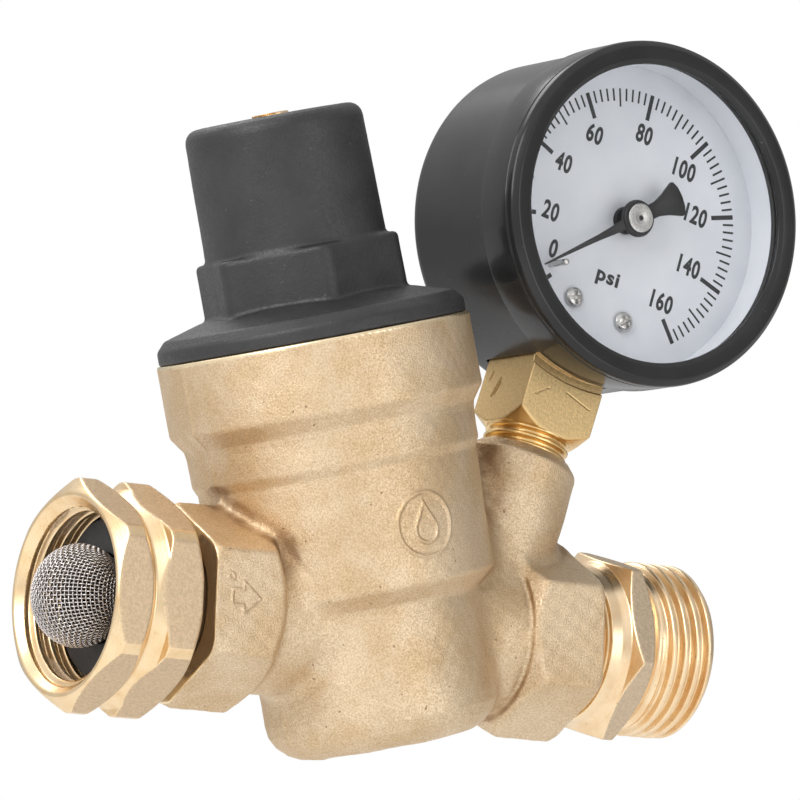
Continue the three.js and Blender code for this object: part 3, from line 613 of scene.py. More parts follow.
def enamel(name, colour, roughness):
    """Satin black stove enamel on steel with a faint orange peel."""
    p = Paint(name, colour, roughness, specular_ior_level=0.3)
    peel = p.noise(0.9, 2, 0.5)
    tint = p.mix(p.steps(p.noise(12, 2), 0.3, 0.7), colour, tuple(c * 1.3 for c in colour))
    dust = p.steps(p.noise(0.6, 1), 0.79, 0.82)
    tint = p.tinted(tint, dust, 0.5, (0.2, 0.2, 0.2))
    rough = p.blended(p.noise(3, 3), roughness * 0.85, roughness * 1.25)
    return p.finish(tint, rough, p.bump(peel, 0.012))


def dial_white():
    p = Paint("dial_white", (0.72, 0.745, 0.79), 0.5)
    colour = p.mix(p.steps(p.noise(7, 3), 0.3, 0.7), (0.71, 0.735, 0.78), (0.76, 0.78, 0.82))
    return p.finish(colour, p.blended(p.noise(0.3, 2), 0.42, 0.6), p.bump(p.noise(0.25, 2), 0.004))


def print_black(name, colour, roughness):
    """Printing ink or painted stamping in near black."""
    p = Paint(name, colour, roughness)
    tint = p.mix(p.noise(0.5, 2), tuple(c * 0.85 for c in colour), tuple(c * 1.2 for c in colour))
    rough = p.blended(p.noise(0.3, 2), roughness * 0.8, roughness * 1.2)
    return p.finish(tint, rough, p.bump(p.noise(0.2, 2), 0.004))


def lens_clear():
    """A clear lens, mostly see-through with a little gloss."""
    p = Paint("lens_clear", (0.01, 0.01, 0.01), 0.04, alpha=0.05)
    return p.finish(roughness=p.blended(p.noise(4, 2), 0.02, 0.07))


def rubber():
    p = Paint("rubber", (0.03, 0.03, 0.031), 0.6)
    colour = p.mix(p.noise(1.2, 3), (0.024, 0.024, 0.025), (0.045, 0.045, 0.045))
    return p.finish(colour, p.blended(p.noise(0.3, 2), 0.5, 0.75), p.bump(p.noise(0.35, 2), 0.03))


def wire_steel():
    """Stainless wire with a warm grey tarnish, and painted shade: near black on the side that faces the
    filter's inside.
    """
    p = Paint("mesh_steel", (0.5, 0.46, 0.43), 0.3, 1.0)
    colour = p.mix(p.noise(1.5, 3), (0.50, 0.46, 0.44), (0.74, 0.70, 0.68))
    # painted shade on the side of each wire that faces the filter's inside
    colour = p.mix(p.mask("inward_shade"), colour, (0.02, 0.018, 0.016))
    return p.finish(colour, p.blended(p.noise(0.2, 2), 0.22, 0.42))


FINISHES = {
    "cast_brass": cast_brass(),
    "machined_brass": bar_brass("machined_brass", (0.66, 0.50, 0.33), (0.86, 0.66, 0.41),
                                (0.72, 0.46, 0.20), 2.2),
    "outlet_brass": bar_brass("outlet_brass", (0.64, 0.51, 0.36), (0.88, 0.68, 0.44),
                              (0.74, 0.48, 0.24), 1.6),
    "thread_brass": bar_brass("thread_brass", (0.74, 0.54, 0.27), (0.84, 0.60, 0.28),
                              (0.62, 0.36, 0.13), 3.2),
    "movement_brass": plain_metal("movement_brass", (0.78, 0.57, 0.27), 0.25),
    # near-black brass, used as painted shade on the tailpiece seen inside the nut
    "dark_brass": plain_metal("dark_brass", (0.16, 0.10, 0.055), 0.5),
    "copper_brass": plain_metal("copper_brass", (0.83, 0.56, 0.38), 0.28, 0.14),
    "bonnet_plastic": moulded_plastic(),
    "case_enamel": enamel("case_enamel", (0.022, 0.022, 0.023), 0.2),
    "bezel_enamel": enamel("bezel_enamel", (0.016, 0.016, 0.016), 0.16),
    "dial_white": dial_white(),
    "dial_print": print_black("dial_print", (0.035, 0.036, 0.038), 0.5),
    "pointer_black": print_black("pointer_black", (0.02, 0.02, 0.021), 0.4),
    "lens_clear": lens_clear(),
    "stainless": plain_metal("stainless", (0.66, 0.65, 0.63), 0.25, 0.12),
    "mesh_steel": wire_steel(),
    "spring_steel": plain_metal("spring_steel", (0.30, 0.30, 0.32), 0.35),
    "rubber": rubber(),
}


# ---- cast body
POT = Turned([
    (0, BODY.bottom), (BODY.base, BODY.bottom, 6), (BODY.base, 2.6, 1.5), (20.6, 5.2, 1.2),
    (21.3, 22.4, 1.5), (21.3, 23.4, 1), (22.0, 24.8, 1.2), (22.1, 29.2, 1.5), (22.3, 30.4, 1.2),
    (24.0, 32.8, 1.5), (BODY.collar, BODY.top, 0.35), (0, BODY.top),
])
HOLLOW = Turned([
    (0, CHAMBER.low), (CHAMBER.low_r, CHAMBER.low, 1), (CHAMBER.low_r, CHAMBER.floor),
    (CHAMBER.seat_r, CHAMBER.floor), (CHAMBER.seat_r, CHAMBER.up),
    (CHAMBER.up_r, CHAMBER.up), (CHAMBER.up_r, CHAMBER.ledge),
    (CHAMBER.bore, CHAMBER.ledge), (CHAMBER.bore, BODY.top + 3), (0, BODY.top + 3),
])
BOSS_LIMITS = Turned([
    (0, BODY.boss_near - 1), (13.0, BODY.boss_near - 0.4, 0.6), (15.7, BODY.boss_near + 1.8, 0.4),
    (15.7, BODY.boss_far - 1.1, 0.3), (14.7, BODY.boss_far, 0.3), (0, BODY.boss_far),
])
FILLET = Sizes(gauge=5.5, pipe=1.8)
MARK = Sizes(angle=-89.5, height=13.8, r=4.8, rise=0.34, stroke=0.5)
ARROW = [(20.9, 1.75), (22.9, 1.75), (22.9, 2.9), (25.7, 0.6), (22.9, -1.7), (22.9, -0.55), (20.9, -0.55)]
ARROW_DOT = (20.6, 3.6, 0.5)
ARROW_LINE = Sizes(stroke=0.34, rise=0.26)
SEAM = Sizes(rise=0.13, half=0.4)


def bump_line(distance, stroke):
    """A raised line's height, from 1 on the line to 0 at its sides."""
    t = np.clip(1 - np.abs(distance) / stroke, 0, 1)
    return t * t * (3 - 2 * t)


def drop(x, y):
    """The distance to a water drop's outline: a round bottom with a pointed top."""
    base, tip, r = -0.75, 2.9, 1.75
    circle = np.hypot(x, y - base) - r
    lean = math.asin(r / (tip - base))
    cone = np.abs(x) * math.cos(lean) + (y - tip) * math.sin(lean)
    joint = base + r * math.sin(lean)
    return np.where(y > joint, cone, circle)


def outline_distance(x, y, corners):
    nearest = np.full(np.shape(x), 1e9, np.float32)
    for (ax, ay), (bx, by) in zip(corners, corners[1:] + corners[:1]):
        ex, ey = bx - ax, by - ay
        t = np.clip(((x - ax) * ex + (y - ay) * ey) / (ex * ex + ey * ey), 0, 1)
        nearest = np.minimum(nearest, np.hypot(x - ax - t * ex, y - ay - t * ey))
    return nearest


def pot_marks(r, angle, h):
    """A raised circle with a water drop on the front of the pot."""
    across = r * (angle - math.radians(MARK.angle))
    up = h - MARK.height
    circle = bump_line(np.hypot(across, up) - MARK.r, MARK.stroke)
    symbol = bump_line(drop(across / 1.1, up / 1.1), MARK.stroke * 0.85)
    near = (np.hypot(across, up) < MARK.r + 1) & (r > 19)
    return MARK.rise * np.maximum(circle, symbol) * near


def boss_marks(x, y, z):
    """A raised arrow outline that points to the outlet, and a small ring, on the inlet boss's front."""
    near = (y < -11) & (x > 18) & (x < 27.5) & (np.abs(z) < 6)
    dot_x, dot_z, dot_r = ARROW_DOT
    arrow = bump_line(outline_distance(x, z, ARROW), ARROW_LINE.stroke)
    dot = bump_line(np.hypot(x - dot_x, z - dot_z) - dot_r, ARROW_LINE.stroke)
    return ARROW_LINE.rise * np.maximum(arrow, dot) * near


def pipe_boss(along, y, z):
    """A hexagonal pipe boss on a round neck, along one side of the pot."""
    hexagonal = hexagon(y, z, BODY.boss_flats, 0, 0.4)
    boss = meet(hexagonal, BOSS_LIMITS(np.hypot(y, z), along), 0.5)
    neck = rod(np.hypot(y, z), along, BODY.neck, 0, BODY.boss_near + 3)
    return fuse(boss, neck, 0.8)


def on_bonnet(x, z):
    """Distance across and height up the bonnet axis."""
    sine, cosine = math.sin(math.radians(BONNET_LEAN)), math.cos(math.radians(BONNET_LEAN))
    dx = x - BONNET_X
    return dx * cosine + z * sine, z * cosine - dx * sine


def on_stem(x, z):
    """Distance across and height up the gauge stem axis."""
    sine, cosine = math.sin(math.radians(STEM_LEAN)), math.cos(math.radians(STEM_LEAN))
    dx, dz = x - STEM_FOOT[0], z - STEM_FOOT[1]
    return dx * cosine - dz * sine, dx * sine + dz * cosine


def body_outside(x, y, z):
    dx = x - BONNET_X
    across, h = on_bonnet(x, z)
    r = np.hypot(across, y)
    stem_across, stem_h = on_stem(x, z)
    stem_r = np.hypot(stem_across, y)
    pot = POT(r, h) - pot_marks(r, np.arctan2(y, across), h)
    seam = SEAM.rise * np.exp(-(y / SEAM.half) ** 2) * (h < BODY.top - 0.8) * (dx < 0)
    pot = pot - seam
    bosses = np.minimum(pipe_boss(-dx, y, z), pipe_boss(dx, y, z)) - boss_marks(x, y, z)
    slope = stem_r - GAUGE_BOSS.r + (stem_h - GAUGE_BOSS.shoulder) * GAUGE_BOSS.slope
    shoulder = slope * GAUGE_BOSS.slope_share
    gauge = meet(rod(stem_r, stem_h, GAUGE_BOSS.r, 0, GAUGE_BOSS.top, 0.3), shoulder, 0.3)
    outside = fuse(fuse(pot, gauge, FILLET.gauge), bosses, FILLET.pipe)
    return outside + unevenness(x, y, z) * (h < BODY.top - 0.6)


def body_shape(x, y, z):
    dx = x - BONNET_X
    across, h = on_bonnet(x, z)
    stem_across, stem_h = on_stem(x, z)
    stem_r = np.hypot(stem_across, y)
    pipe_r = np.hypot(y, z)
    ports = rod(pipe_r, np.abs(dx), PORT.r, PORT.near, PORT.far)
    inlet = capsule(x, y, z, *INLET_PASSAGE)
    outlet = capsule(x, y, z, *OUTLET_PASSAGE)
    socket = rod(stem_r, stem_h, GAUGE_BOSS.bore, GAUGE_BOSS.bore_low, GAUGE_BOSS.top + 5)
    passage = rod(stem_r, stem_h, GAUGE_PASSAGE.r, GAUGE_PASSAGE.low, GAUGE_PASSAGE.high)
    cuts = np.minimum(np.minimum(ports, np.minimum(socket, passage)), np.minimum(inlet, outlet))
    return carve(body_outside(x, y, z), np.minimum(HOLLOW(np.hypot(across, y), h), cuts), 0.3)


def body_machined(x, y, z):
    h = on_bonnet(x, z)[1]
    stem_across, stem_h = on_stem(x, z)
    near_gauge = (np.hypot(stem_across, y) < GAUGE_BOSS.r) & (h < 40)
    return np.clip((h > BODY.top - 0.5) + (np.abs(x - BONNET_X) > BODY.boss_far - 0.15)
                   + near_gauge * (stem_h > GAUGE_BOSS.top - 0.1), 0, 1)


def make_body():
    grown_piece("cast_body", body_shape, (16.5, -26, -22.5), (90, 26, 50.5), 0.29, 2.6, WORLD,
                "cast_brass", ["valve_body"], machined=body_machined, skin=body_outside)


# ---- inlet side
NUT_LIMITS = Turned([
    (0, 0), (15.2, 0, 0.25), (15.6, 0.25, 0.3), (NUT.corner, 1.5, 0.35), (NUT.corner, 4.4, 0.25),
    (17.0, 4.95, 0.3), (14.9, 6.7, 0.4), (16.3, 8.75, 0.3), (NUT.corner, 9.1, 0.3),
    (NUT.corner, 13.4, 0.35), (15.6, NUT.length, 0.3), (0, NUT.length),
])
NUT_HOLLOW = Turned([
    (0, NUT.relief_low), (NUT.relief, NUT.relief_low, 0.4), (NUT.relief, NUT.lip, 0.4),
    (NUT.lip_r, NUT.lip, 0.3), (NUT.lip_r, NUT.length + 3), (0, NUT.length + 3),
])


def nut_outside(x, y):
    return hexagon(x, y, NUT.flats, 90, 0.35)


def nut_shape(x, y, h):
    r = np.hypot(x, y)
    outside = meet(nut_outside(x, y), NUT_LIMITS(r, h), 0.3)
    female = thread(r, h, np.arctan2(y, x), HOSE.minor + 0.3, HOSE.major + 0.1, HOSE.pitch)
    fade = np.clip((h - 0.5) / 0.8, 0, 1)
    bore = np.minimum(female * fade + (r - NUT.bore) * (1 - fade), (r - NUT.bore - 0.9 + h) * SLANT)
    bore = np.maximum(bore, h - NUT.relief_low - 0.5)
    return carve(outside, np.minimum(bore, NUT_HOLLOW(r, h)), 0.15)


def nut_turned(x, y, h):
    """1 on the turned faces and 0 on the drawn hexagon flats."""
    flat = nut_outside(x, y) > NUT_LIMITS(np.hypot(x, y), h) - FLAT_MARGIN
    return 1.0 - flat


def make_nut():
    grown_piece("hex_nut", nut_shape, (-19, -19, -1), (19, 19, 16), 0.17, 1.6, PIPE,
                "machined_brass", ["swivel_nut"], body="inlet_nut", machined=nut_turned)


def make_tailpiece():
    face = BONNET_X - BODY.boss_far
    corners = [(6.9, 11.9), (12.2, 11.9, 0.2), (12.2, 13.1, 0.2), (10.4, 13.1, 0.3), (10.4, face - 0.2, 0.2),
               (10.6, face + 0.6), (10.3, 26.5, 0.3), (6.9, 26.5), (6.9, 11.9)]
    # near-black brass colour: painted shade for the tailpiece seen deep inside the nut
    turned_piece("tailpiece", corners, PIPE, "dark_brass", ["inlet_tailpiece"], closed=True)


def make_washer():
    corners = ring_outline(6.9, 12.0, 6.4, 11.6, 0.35)
    turned_piece("washer", corners, PIPE, "rubber", ["inlet_washer"], body="inlet_filter", closed=True)


class Dome:
    """The filter's skin: a half ellipsoid on a narrower neck, with arc length measured from the tip."""

    TIP, CENTRE, BULB, NECK, NECK_START, END = -4.3, 2.5, 7.6, 5.7, 8.4, 15.6

    def __init__(self):
        sweep = np.radians(np.linspace(-90, 38, 60))
        long = self.CENTRE - self.TIP
        r = list(self.BULB * np.cos(sweep))
        h = list(self.CENTRE + long * np.sin(sweep))
        r += [self.NECK, self.NECK]
        h += [self.NECK_START + 0.6, self.END]
        self.r = np.array(r)
        self.h = np.array(h)
        gaps = np.hypot(np.diff(self.r), np.diff(self.h))
        self.s = np.concatenate([[0], np.cumsum(gaps)])

    def at(self, u, v, lift):
        """Where a point of the flat cloth ends up, and the skin's normal there."""
        reach = np.hypot(u, v)
        angle = np.arctan2(v, u)
        r = np.interp(reach, self.s, self.r)
        h = np.interp(reach, self.s, self.h)
        ahead = np.interp(reach + 0.2, self.s, self.r) - np.interp(reach - 0.2, self.s, self.r)
        rise = np.interp(reach + 0.2, self.s, self.h) - np.interp(reach - 0.2, self.s, self.h)
        size = np.maximum(np.hypot(ahead, rise), 1e-6)
        out_r, out_h = rise / size, -ahead / size
        normal = np.stack([out_r * np.cos(angle), out_r * np.sin(angle), out_h], 1)
        point = np.stack([r * np.cos(angle), r * np.sin(angle), h], 1)
        return point + normal * lift[:, None], normal


def make_filter():
    """Two families of wires woven over and under each other."""
    dome = Dome()
    pitch = MESH_PITCH
    reach = dome.s[-1] - 0.1
    paths = []
    for family in range(2):
        for i in range(-int(reach / pitch), int(reach / pitch) + 1):
            offset = i * pitch
            half = math.sqrt(max(reach ** 2 - offset ** 2, 0))
            if half < 2 * pitch:
                continue
            along = np.arange(-half, half, pitch / 5)
            side = 1 if family == 0 else -1
            lift = side * WIRE_LIFT * np.cos(math.pi * i) * np.cos(math.pi * along / pitch)
            fixed = np.full_like(along, offset)
            u, v = (fixed, along) if family == 0 else (along, fixed)
            paths.append(dome.at(u, v, lift))
    points, faces = tubes(paths, WIRE_SIDES, WIRE_RADIUS)
    mesh = bpy.data.meshes.new("filter_weave")
    mesh.from_pydata((points * MM).tolist(), [], faces.tolist())
    mesh.shade_smooth()
    # mask for the painted shade on the side of each wire that faces the filter's inside
    inward_shade = np.clip(-1.5 * np.sin(np.arange(len(points)) * 2 * math.pi / WIRE_SIDES), 0, 1)
    mesh.attributes.new("inward_shade", "FLOAT", "POINT").data.foreach_set("value", inward_shade.astype(np.float32))
    add_piece(mesh, PIPE, "mesh_steel", ["filter_screen"], body="inlet_filter")


# ---- outlet side
ADAPTER_LIMITS = Turned([
    (0, ADAPTER.cone - 0.6), (11.9, ADAPTER.cone - 0.3, 0.3), (12.2, 92.0, 1.0), (12.9, 93.2, 0.4),
    (ADAPTER.corner, 94.4, 0.3), (ADAPTER.corner, 96.1, 0.3), (13.3, 97.3, 0.3),
    (12.6, ADAPTER.hex_end, 0.3), (0, ADAPTER.hex_end),
])
ADAPTER_CORE = Turned([
    (0, ADAPTER.start), (10.2, ADAPTER.start, 0.4), (10.6, 87.6), (10.9, 88.2, 0.2), (10.9, 89.2, 0.2),
    (10.5, 89.5, 0.2), (11.3, 89.9, 0.25), (11.3, 91), (ADAPTER.relief, 98.0),
    (ADAPTER.relief, ADAPTER.end, 1.6), (0, ADAPTER.end),
])
ADAPTER_END = Turned([
    (0, ADAPTER.thread), (12.2, ADAPTER.thread - 0.2, 0.3), (13.6, ADAPTER.thread + 1.0, 0.3),
    (13.6, ADAPTER.end - 1.3, 0.8), (12.2, ADAPTER.end, 0.4), (0, ADAPTER.end),
])


def adapter_hex(x, y):
    return hexagon(x, y, ADAPTER.hex_flats, 90 + ADAPTER.hex_turn, 0.3)


def adapter_shape(x, y, h):
    r = np.hypot(x, y)
    collar = meet(adapter_hex(x, y), ADAPTER_LIMITS(r, h), 0.25)
    male = thread(r, h, np.arctan2(y, x), HOSE.major, HOSE.minor, HOSE.pitch)
    ridges = meet(male, ADAPTER_END(r, h), 0.3)
    whole = fuse(fuse(ADAPTER_CORE(r, h), collar, 0.3), ridges, 0.3)
    bore = np.minimum(r - ADAPTER.bore, (r - ADAPTER.bore - 0.6 + ADAPTER.end - h) * SLANT)
    return carve(whole, bore, 0.2)


def adapter_turned(x, y, h):
    on_hexagon = (h > ADAPTER.cone + 0.5) & (h < ADAPTER.hex_end)
    flat = adapter_hex(x, y) > ADAPTER_LIMITS(np.hypot(x, y), h) - FLAT_MARGIN
    return 1.0 - (flat & on_hexagon)


def make_adapter():
    grown_piece("outlet_fitting", adapter_shape, (-17, -17, 78), (17, 17, 110.5), 0.19, 1.6, PIPE,
                "outlet_brass", ["outlet_adapter"], machined=adapter_turned)


# ---- bonnet and adjusting screw
BONNET_SHELL = Turned([
    (0, 33.6), (20.1, 33.6, 0.3), (20.1, 36.4), (18.5, 36.4), (18.5, 38.8), (20.1, 38.8), (20.1, 43.86),
    (23.56, 43.86, 0.3), (23.56, 45.9, 1.2), (22.2, 47.4, 1.0), (16.6, 49.0, 1.5), (14.0, 49.6, 0.6),
    (13.6, 78.0, 2.1), (0, 78.0),
])
BONNET_BORE = Turned([
    (0, 31), (17.2, 31), (17.2, 42), (11.6, 50.5), (11.6, 74.6), (5.1, 74.6), (5.1, 82), (0, 82),
])


def bonnet_shape(x, y, h):
    r = np.hypot(x, y)
    hexagonal = hexagon(x, y, BONNET_HEX.flats, -90 + BONNET_HEX.turn, 1.4)
    low, high = BONNET_HEX.low, BONNET_HEX.high
    collar = meet(hexagonal, np.abs(h - (low + high) / 2) - (high - low) / 2, 1.0)
    outside = fuse(BONNET_SHELL(r, h), collar, 0.7)
    return carve(outside + 0.35 * unevenness(y, h, x), BONNET_BORE(r, h), 0.3)


def make_bonnet():
    grown_piece("bonnet_cap", bonnet_shape, (-25, -25, 32.5), (25, 25, 80), 0.3, 1.8, BONNET,
                "bonnet_plastic", ["bonnet"])
    insert = [(3.3, 71.5), (6.5, 71.5, 0.2), (6.5, 74.2, 0.1), (4.8, 74.2, 0.1), (4.8, 78.1, 0.25),
              (3.3, 78.1, 0.15), (3.3, 71.5)]
    turned_piece("threaded_insert", insert, BONNET, "copper_brass", ["bonnet_insert"], segments=96,
                 closed=True)


SCREW = Sizes(major=3.0, minor=2.6, pitch=1.0, tip_r=2.2, low=64.5, high=78.5, slot=1.2, slot_floor=76.9)


def screw_shape(x, y, h):
    r = np.hypot(x, y)
    ridges = thread(r, h, np.arctan2(y, x), SCREW.major, SCREW.minor, SCREW.pitch)
    point = (r - SCREW.tip_r - (h - SCREW.low)) * SLANT
    middle, half = (SCREW.low + SCREW.high) / 2, (SCREW.high - SCREW.low) / 2
    shank = meet(np.maximum(ridges, point), np.abs(h - middle) - half, 0.2)
    return carve(shank, meet(np.abs(y) - SCREW.slot / 2, SCREW.slot_floor - h, 0.1), 0.1)


def make_screw():
    grown_piece("slotted_screw", screw_shape, (-4, -4, 63.5), (4, 4, 80), 0.12, 0.8, BONNET,
                "machined_brass", ["adjusting_screw"], body="screw",
                machined=lambda x, y, h: np.ones_like(x))


# ---- gauge stem and case
SOCKET_LIMITS = Turned([
    (0, SOCKET.low), (6.9, SOCKET.low, 0.2), (9.6, 34.2, 0.3), (9.6, SOCKET.high, 0.2),
    (0, SOCKET.high),
])
GROOVE = Sizes(r=26.3, half=0.75, deep=0.55)
GOUGES = [((-6.7, 2.9, 36.3), (-6.7, 1.6, 39.2)), ((-6.7, 2.2, 36.6), (-6.7, 1.3, 38.4)),
          ((-6.7, 4.6, 39.2), (-6.7, 4.2, 40.4))]
SCRATCHES = [((-4.9, -6.7, 36.7), (-3.0, -6.7, 38.4)), ((-3.3, -6.7, 41.5), (-3.1, -6.7, 43.4)),
             ((0.4, -6.7, 39.0), (5.2, -6.7, 38.0))]


def socket_shape(x, y, h):
    r = np.hypot(x, y)
    half = SOCKET.side / 2
    block = meet(meet(np.abs(x) - half, np.abs(y) - half, 0.25), SOCKET_LIMITS(r, h), 0.25)
    across = np.abs(np.hypot(x, h - DIAL_UP_STEM) - GROOVE.r) - GROOVE.half
    groove = meet(across, y + half - GROOVE.deep, 0.2)
    block = carve(block, groove, 0.15)
    for start, end in GOUGES:
        block = carve(block, capsule(x, y, h, start, end, 0.22), 0.15)
    for start, end in SCRATCHES:
        block = carve(block, capsule(x, y, h, start, end, 0.1), 0.08)
    ridges = thread(r, h, np.arctan2(y, x), SOCKET.thread, SOCKET.root, SOCKET.pitch)
    thread_high = SOCKET.low + 1
    middle = (SOCKET.thread_low + thread_high) / 2
    shank = meet(ridges, np.abs(h - middle) - (thread_high - SOCKET.thread_low) / 2, 0.2)
    channel = rod(r, h, SOCKET.channel, SOCKET.thread_low - 1, SOCKET.high - 1.5)
    return carve(np.minimum(block, shank), channel, 0.2)


def socket_turned(x, y, h):
    r = np.hypot(x, y)
    half = SOCKET.side / 2
    flat = np.maximum(np.abs(x), np.abs(y)) - half > SOCKET_LIMITS(r, h) - FLAT_MARGIN
    return 1.0 - (flat & (h > SOCKET.low))


def make_socket():
    grown_piece("stem_block", socket_shape, (-9, -9, 17.5), (9, 9, 51), 0.15, 1.2, STEM,
                "thread_brass", ["gauge_socket"], machined=socket_turned)


CASE_OUTSIDE = Turned([
    (0, CASE.back), (CASE.r, CASE.back, 2.0), (CASE.r, CASE.front, 0.15), (0, CASE.front),
])
CASE_INSIDE = Turned([
    (0, CASE.back + CASE.wall), (CASE.r - CASE.wall, CASE.back + CASE.wall, 0.9),
    (CASE.r - CASE.wall, 4), (0, 4),
])


def case_shape(x, y, h):
    r = np.hypot(x, y)
    cup = carve(CASE_OUTSIDE(r, h), CASE_INSIDE(r, h), 0.2)
    centre = 1 - DIAL_FORWARD
    notch = meet(np.abs(x) - CASE.notch / 2, np.abs(h - centre) - CASE.notch_up, 0.6)
    notch = meet(notch, np.abs(y + CASE.r) - CASE.notch_deep, 0.4)
    vent = np.hypot(x, y - CASE.vent_up) - CASE.vent
    vent = np.maximum(vent, h)
    return carve(carve(cup, notch, 0.2), vent, 0.2)


def make_case():
    grown_piece("pressed_case", case_shape, (-28, -28, -22), (28, 28, 1.5), 0.27, 1.2, CASE_AXIS,
                "case_enamel", ["gauge_case"])
    back = CASE.back
    plug = [(0, back - 0.9), (4.0, back - 0.9, 0.4), (4.0, back - 0.3, 0.15), (2.7, back - 0.3, 0.1),
            (2.7, back + CASE.wall, 0.2), (0, back + CASE.wall)]
    place = CASE_AXIS @ shift(0, CASE.vent_up, 0)
    turned_piece("vent_plug", plug, place, "rubber", ["case_vent_plug"], segments=64)


def make_bezel():
    corners = [(25.2, -0.15), (26.7, -0.15, 0.25), (26.7, 6.5, 0.2), (26.5, 6.75, 0.15), (26.75, 7.05, 0.3),
               (26.65, 8.1, 0.7), (25.7, 8.88, 0.6), (23.8, 8.8, 0.3), (23.05, 8.4, 0.25), (23.0, 7.8, 0.1),
               (25.2, 7.8, 0.1), (25.2, -0.15)]
    turned_piece("rolled_bezel", corners, CASE_AXIS, "bezel_enamel", ["gauge_bezel"], segments=192,
                 closed=True, sharp=40)


def make_lens():
    lens = [(0, 6.8), (24.9, 6.8, 0.15), (24.9, 7.5, 0.15), (0, 7.5)]
    turned_piece("clear_lens", lens, CASE_AXIS, "lens_clear", ["gauge_lens"])
    gasket = ring_outline(23.6, 24.9, 5.7, 6.5, 0.25)
    turned_piece("lens_seal", gasket, CASE_AXIS, "rubber", ["lens_gasket"], closed=True)
    wall = ring_outline(23.9, 24.9, 0.02, 5.4, 0.02)
    turned_piece("dial_wall", wall, CASE_AXIS, "dial_white", ["dial_ring"], closed=True)


# ---- dial face
def tick_mesh(name):
    """The scale's marks, whose inner end and width go by the largest step that the value is on."""
    points, faces = [], []
    for value in range(0, SCALE.full + 1, 2):
        inner, wide = next((inner, wide) for step, inner, wide in TICKS if value % step == 0)
        angle = math.radians(SCALE.start - SCALE.sweep * value / SCALE.full)
        along = Vector((math.cos(angle), math.sin(angle), 0))
        across = Vector((-along.y, along.x, 0)) * wide / 2
        start = len(points)
        for height in (0.0, 0.02):
            for reach, side in ((inner, -1), (SCALE.outer, -1), (SCALE.outer, 1), (inner, 1)):
                points.append(along * reach + across * side + Vector((0, 0, height)))
        faces += [(start + 3, start + 2, start + 1, start), (start + 4, start + 5, start + 6, start + 7)]
        faces += [(start + k, start + (k + 1) % 4, start + 4 + (k + 1) % 4, start + 4 + k) for k in range(4)]
    return listed_mesh(name, points, faces)


def words_mesh(name, words):
    """Upright figures on the dial; each is (text, centre x, centre y, height, width per letter)."""
    form = bmesh.new()
    for text, x, y, tall, wide in words:
        curve = bpy.data.curves.new(name, "FONT")
        curve.body = text
        curve.extrude = 0.004
        curve.offset = 0.034
        curve.space_character = 1.12
        curve.resolution_u = 6
        letters = placed(name, curve)
        graph = bpy.context.evaluated_depsgraph_get()
        mesh = bpy.data.meshes.new_from_object(letters.evaluated_get(graph))
        bpy.data.objects.remove(letters)
        bpy.data.curves.remove(curve)
        corners = np.array([v.co for v in mesh.vertices])
        low, high = corners.min(0), corners.max(0)
        stretch = Matrix.Diagonal((wide * len(text) / (high[0] - low[0]), tall / (high[1] - low[1]),
                                   0.02 / (high[2] - low[2]), 1))
        centre = Matrix.Translation(-Vector(((low[0] + high[0]) / 2, (low[1] + high[1]) / 2, low[2])))
        upright = turn(SCALE.text_turn, "Z") @ stretch @ centre
        mesh.transform(Matrix.Diagonal((MM, MM, MM, 1)) @ Matrix.Translation((x, y, 0)) @ upright)
        form.from_mesh(mesh)
        bpy.data.meshes.remove(mesh)
    return finished_mesh(name, form)


def make_dial():
    r = DIAL_PLATE.r
    corners = ring_outline(DIAL_PLATE.hole, r, -DIAL_PLATE.thick, 0, 0.08)
    turned_piece("dial_face", corners, DIAL, "dial_white", ["gauge_dial"], closed=True)
    add_piece(tick_mesh("dial_ticks"), DIAL, "dial_print")
    words = []
    for value, (angle, reach) in NUMERALS.items():
        x, y = reach * math.cos(math.radians(angle)), reach * math.sin(math.radians(angle))
        words.append((str(value), x, y, FIGURE.tall, FIGURE.wide if value < 100 else FIGURE.narrow))
    add_piece(words_mesh("dial_figures", words + [UNIT]), DIAL, "dial_print")
    bush = [(1.1, 0.02), (2.2, 0.02, 0.15), (2.1, 0.8, 0.2), (1.1, 0.8), (1.1, 0.02)]
    turned_piece("dial_bush", bush, DIAL, "pointer_black", segments=48, closed=True)


PAN_HEAD = Turned([
    (0, -4), (0.7, -4), (0.7, 0.3), (1.6, 0.3, 0.1), (1.6, 0.6, 0.2), (1.1, 1.0, 0.5), (0, 1.05),
])


def pan_screw_shape(x, y, h):
    """A small pan-head screw with a cross recess."""
    half, reach, floor = 0.27, 1.05, 0.35
    bars = [meet(np.abs(a) - half, np.abs(b) - reach, 0.1) for a, b in ((x, y), (y, x))]
    recess = np.maximum(np.minimum(*bars), floor - h)
    return carve(PAN_HEAD(np.hypot(x, y), h), recess, 0.08)


def make_dial_screws():
    for side, title in ((-1, "left"), (1, "right")):
        place = DIAL @ shift(side * SCREW_AT[0], SCREW_AT[1], 0) @ turn(35 + side * 12, "Z")
        grown_piece("pan_screw_" + title, pan_screw_shape, (-2, -2, -4.3), (2, 2, 1.5), 0.06, 0.4, place,
                    "stainless", ["dial_screw_" + title])


def make_stop_pin():
    corners = [(0, -2), (0.5, -2, 0.1), (0.5, 4.4, 0.2), (0, 4.6)]
    place = DIAL @ shift(PIN_AT[0], PIN_AT[1], 0)
    turned_piece("stop_pin", corners, place, "stainless", ["zero_stop_pin"], segments=32)


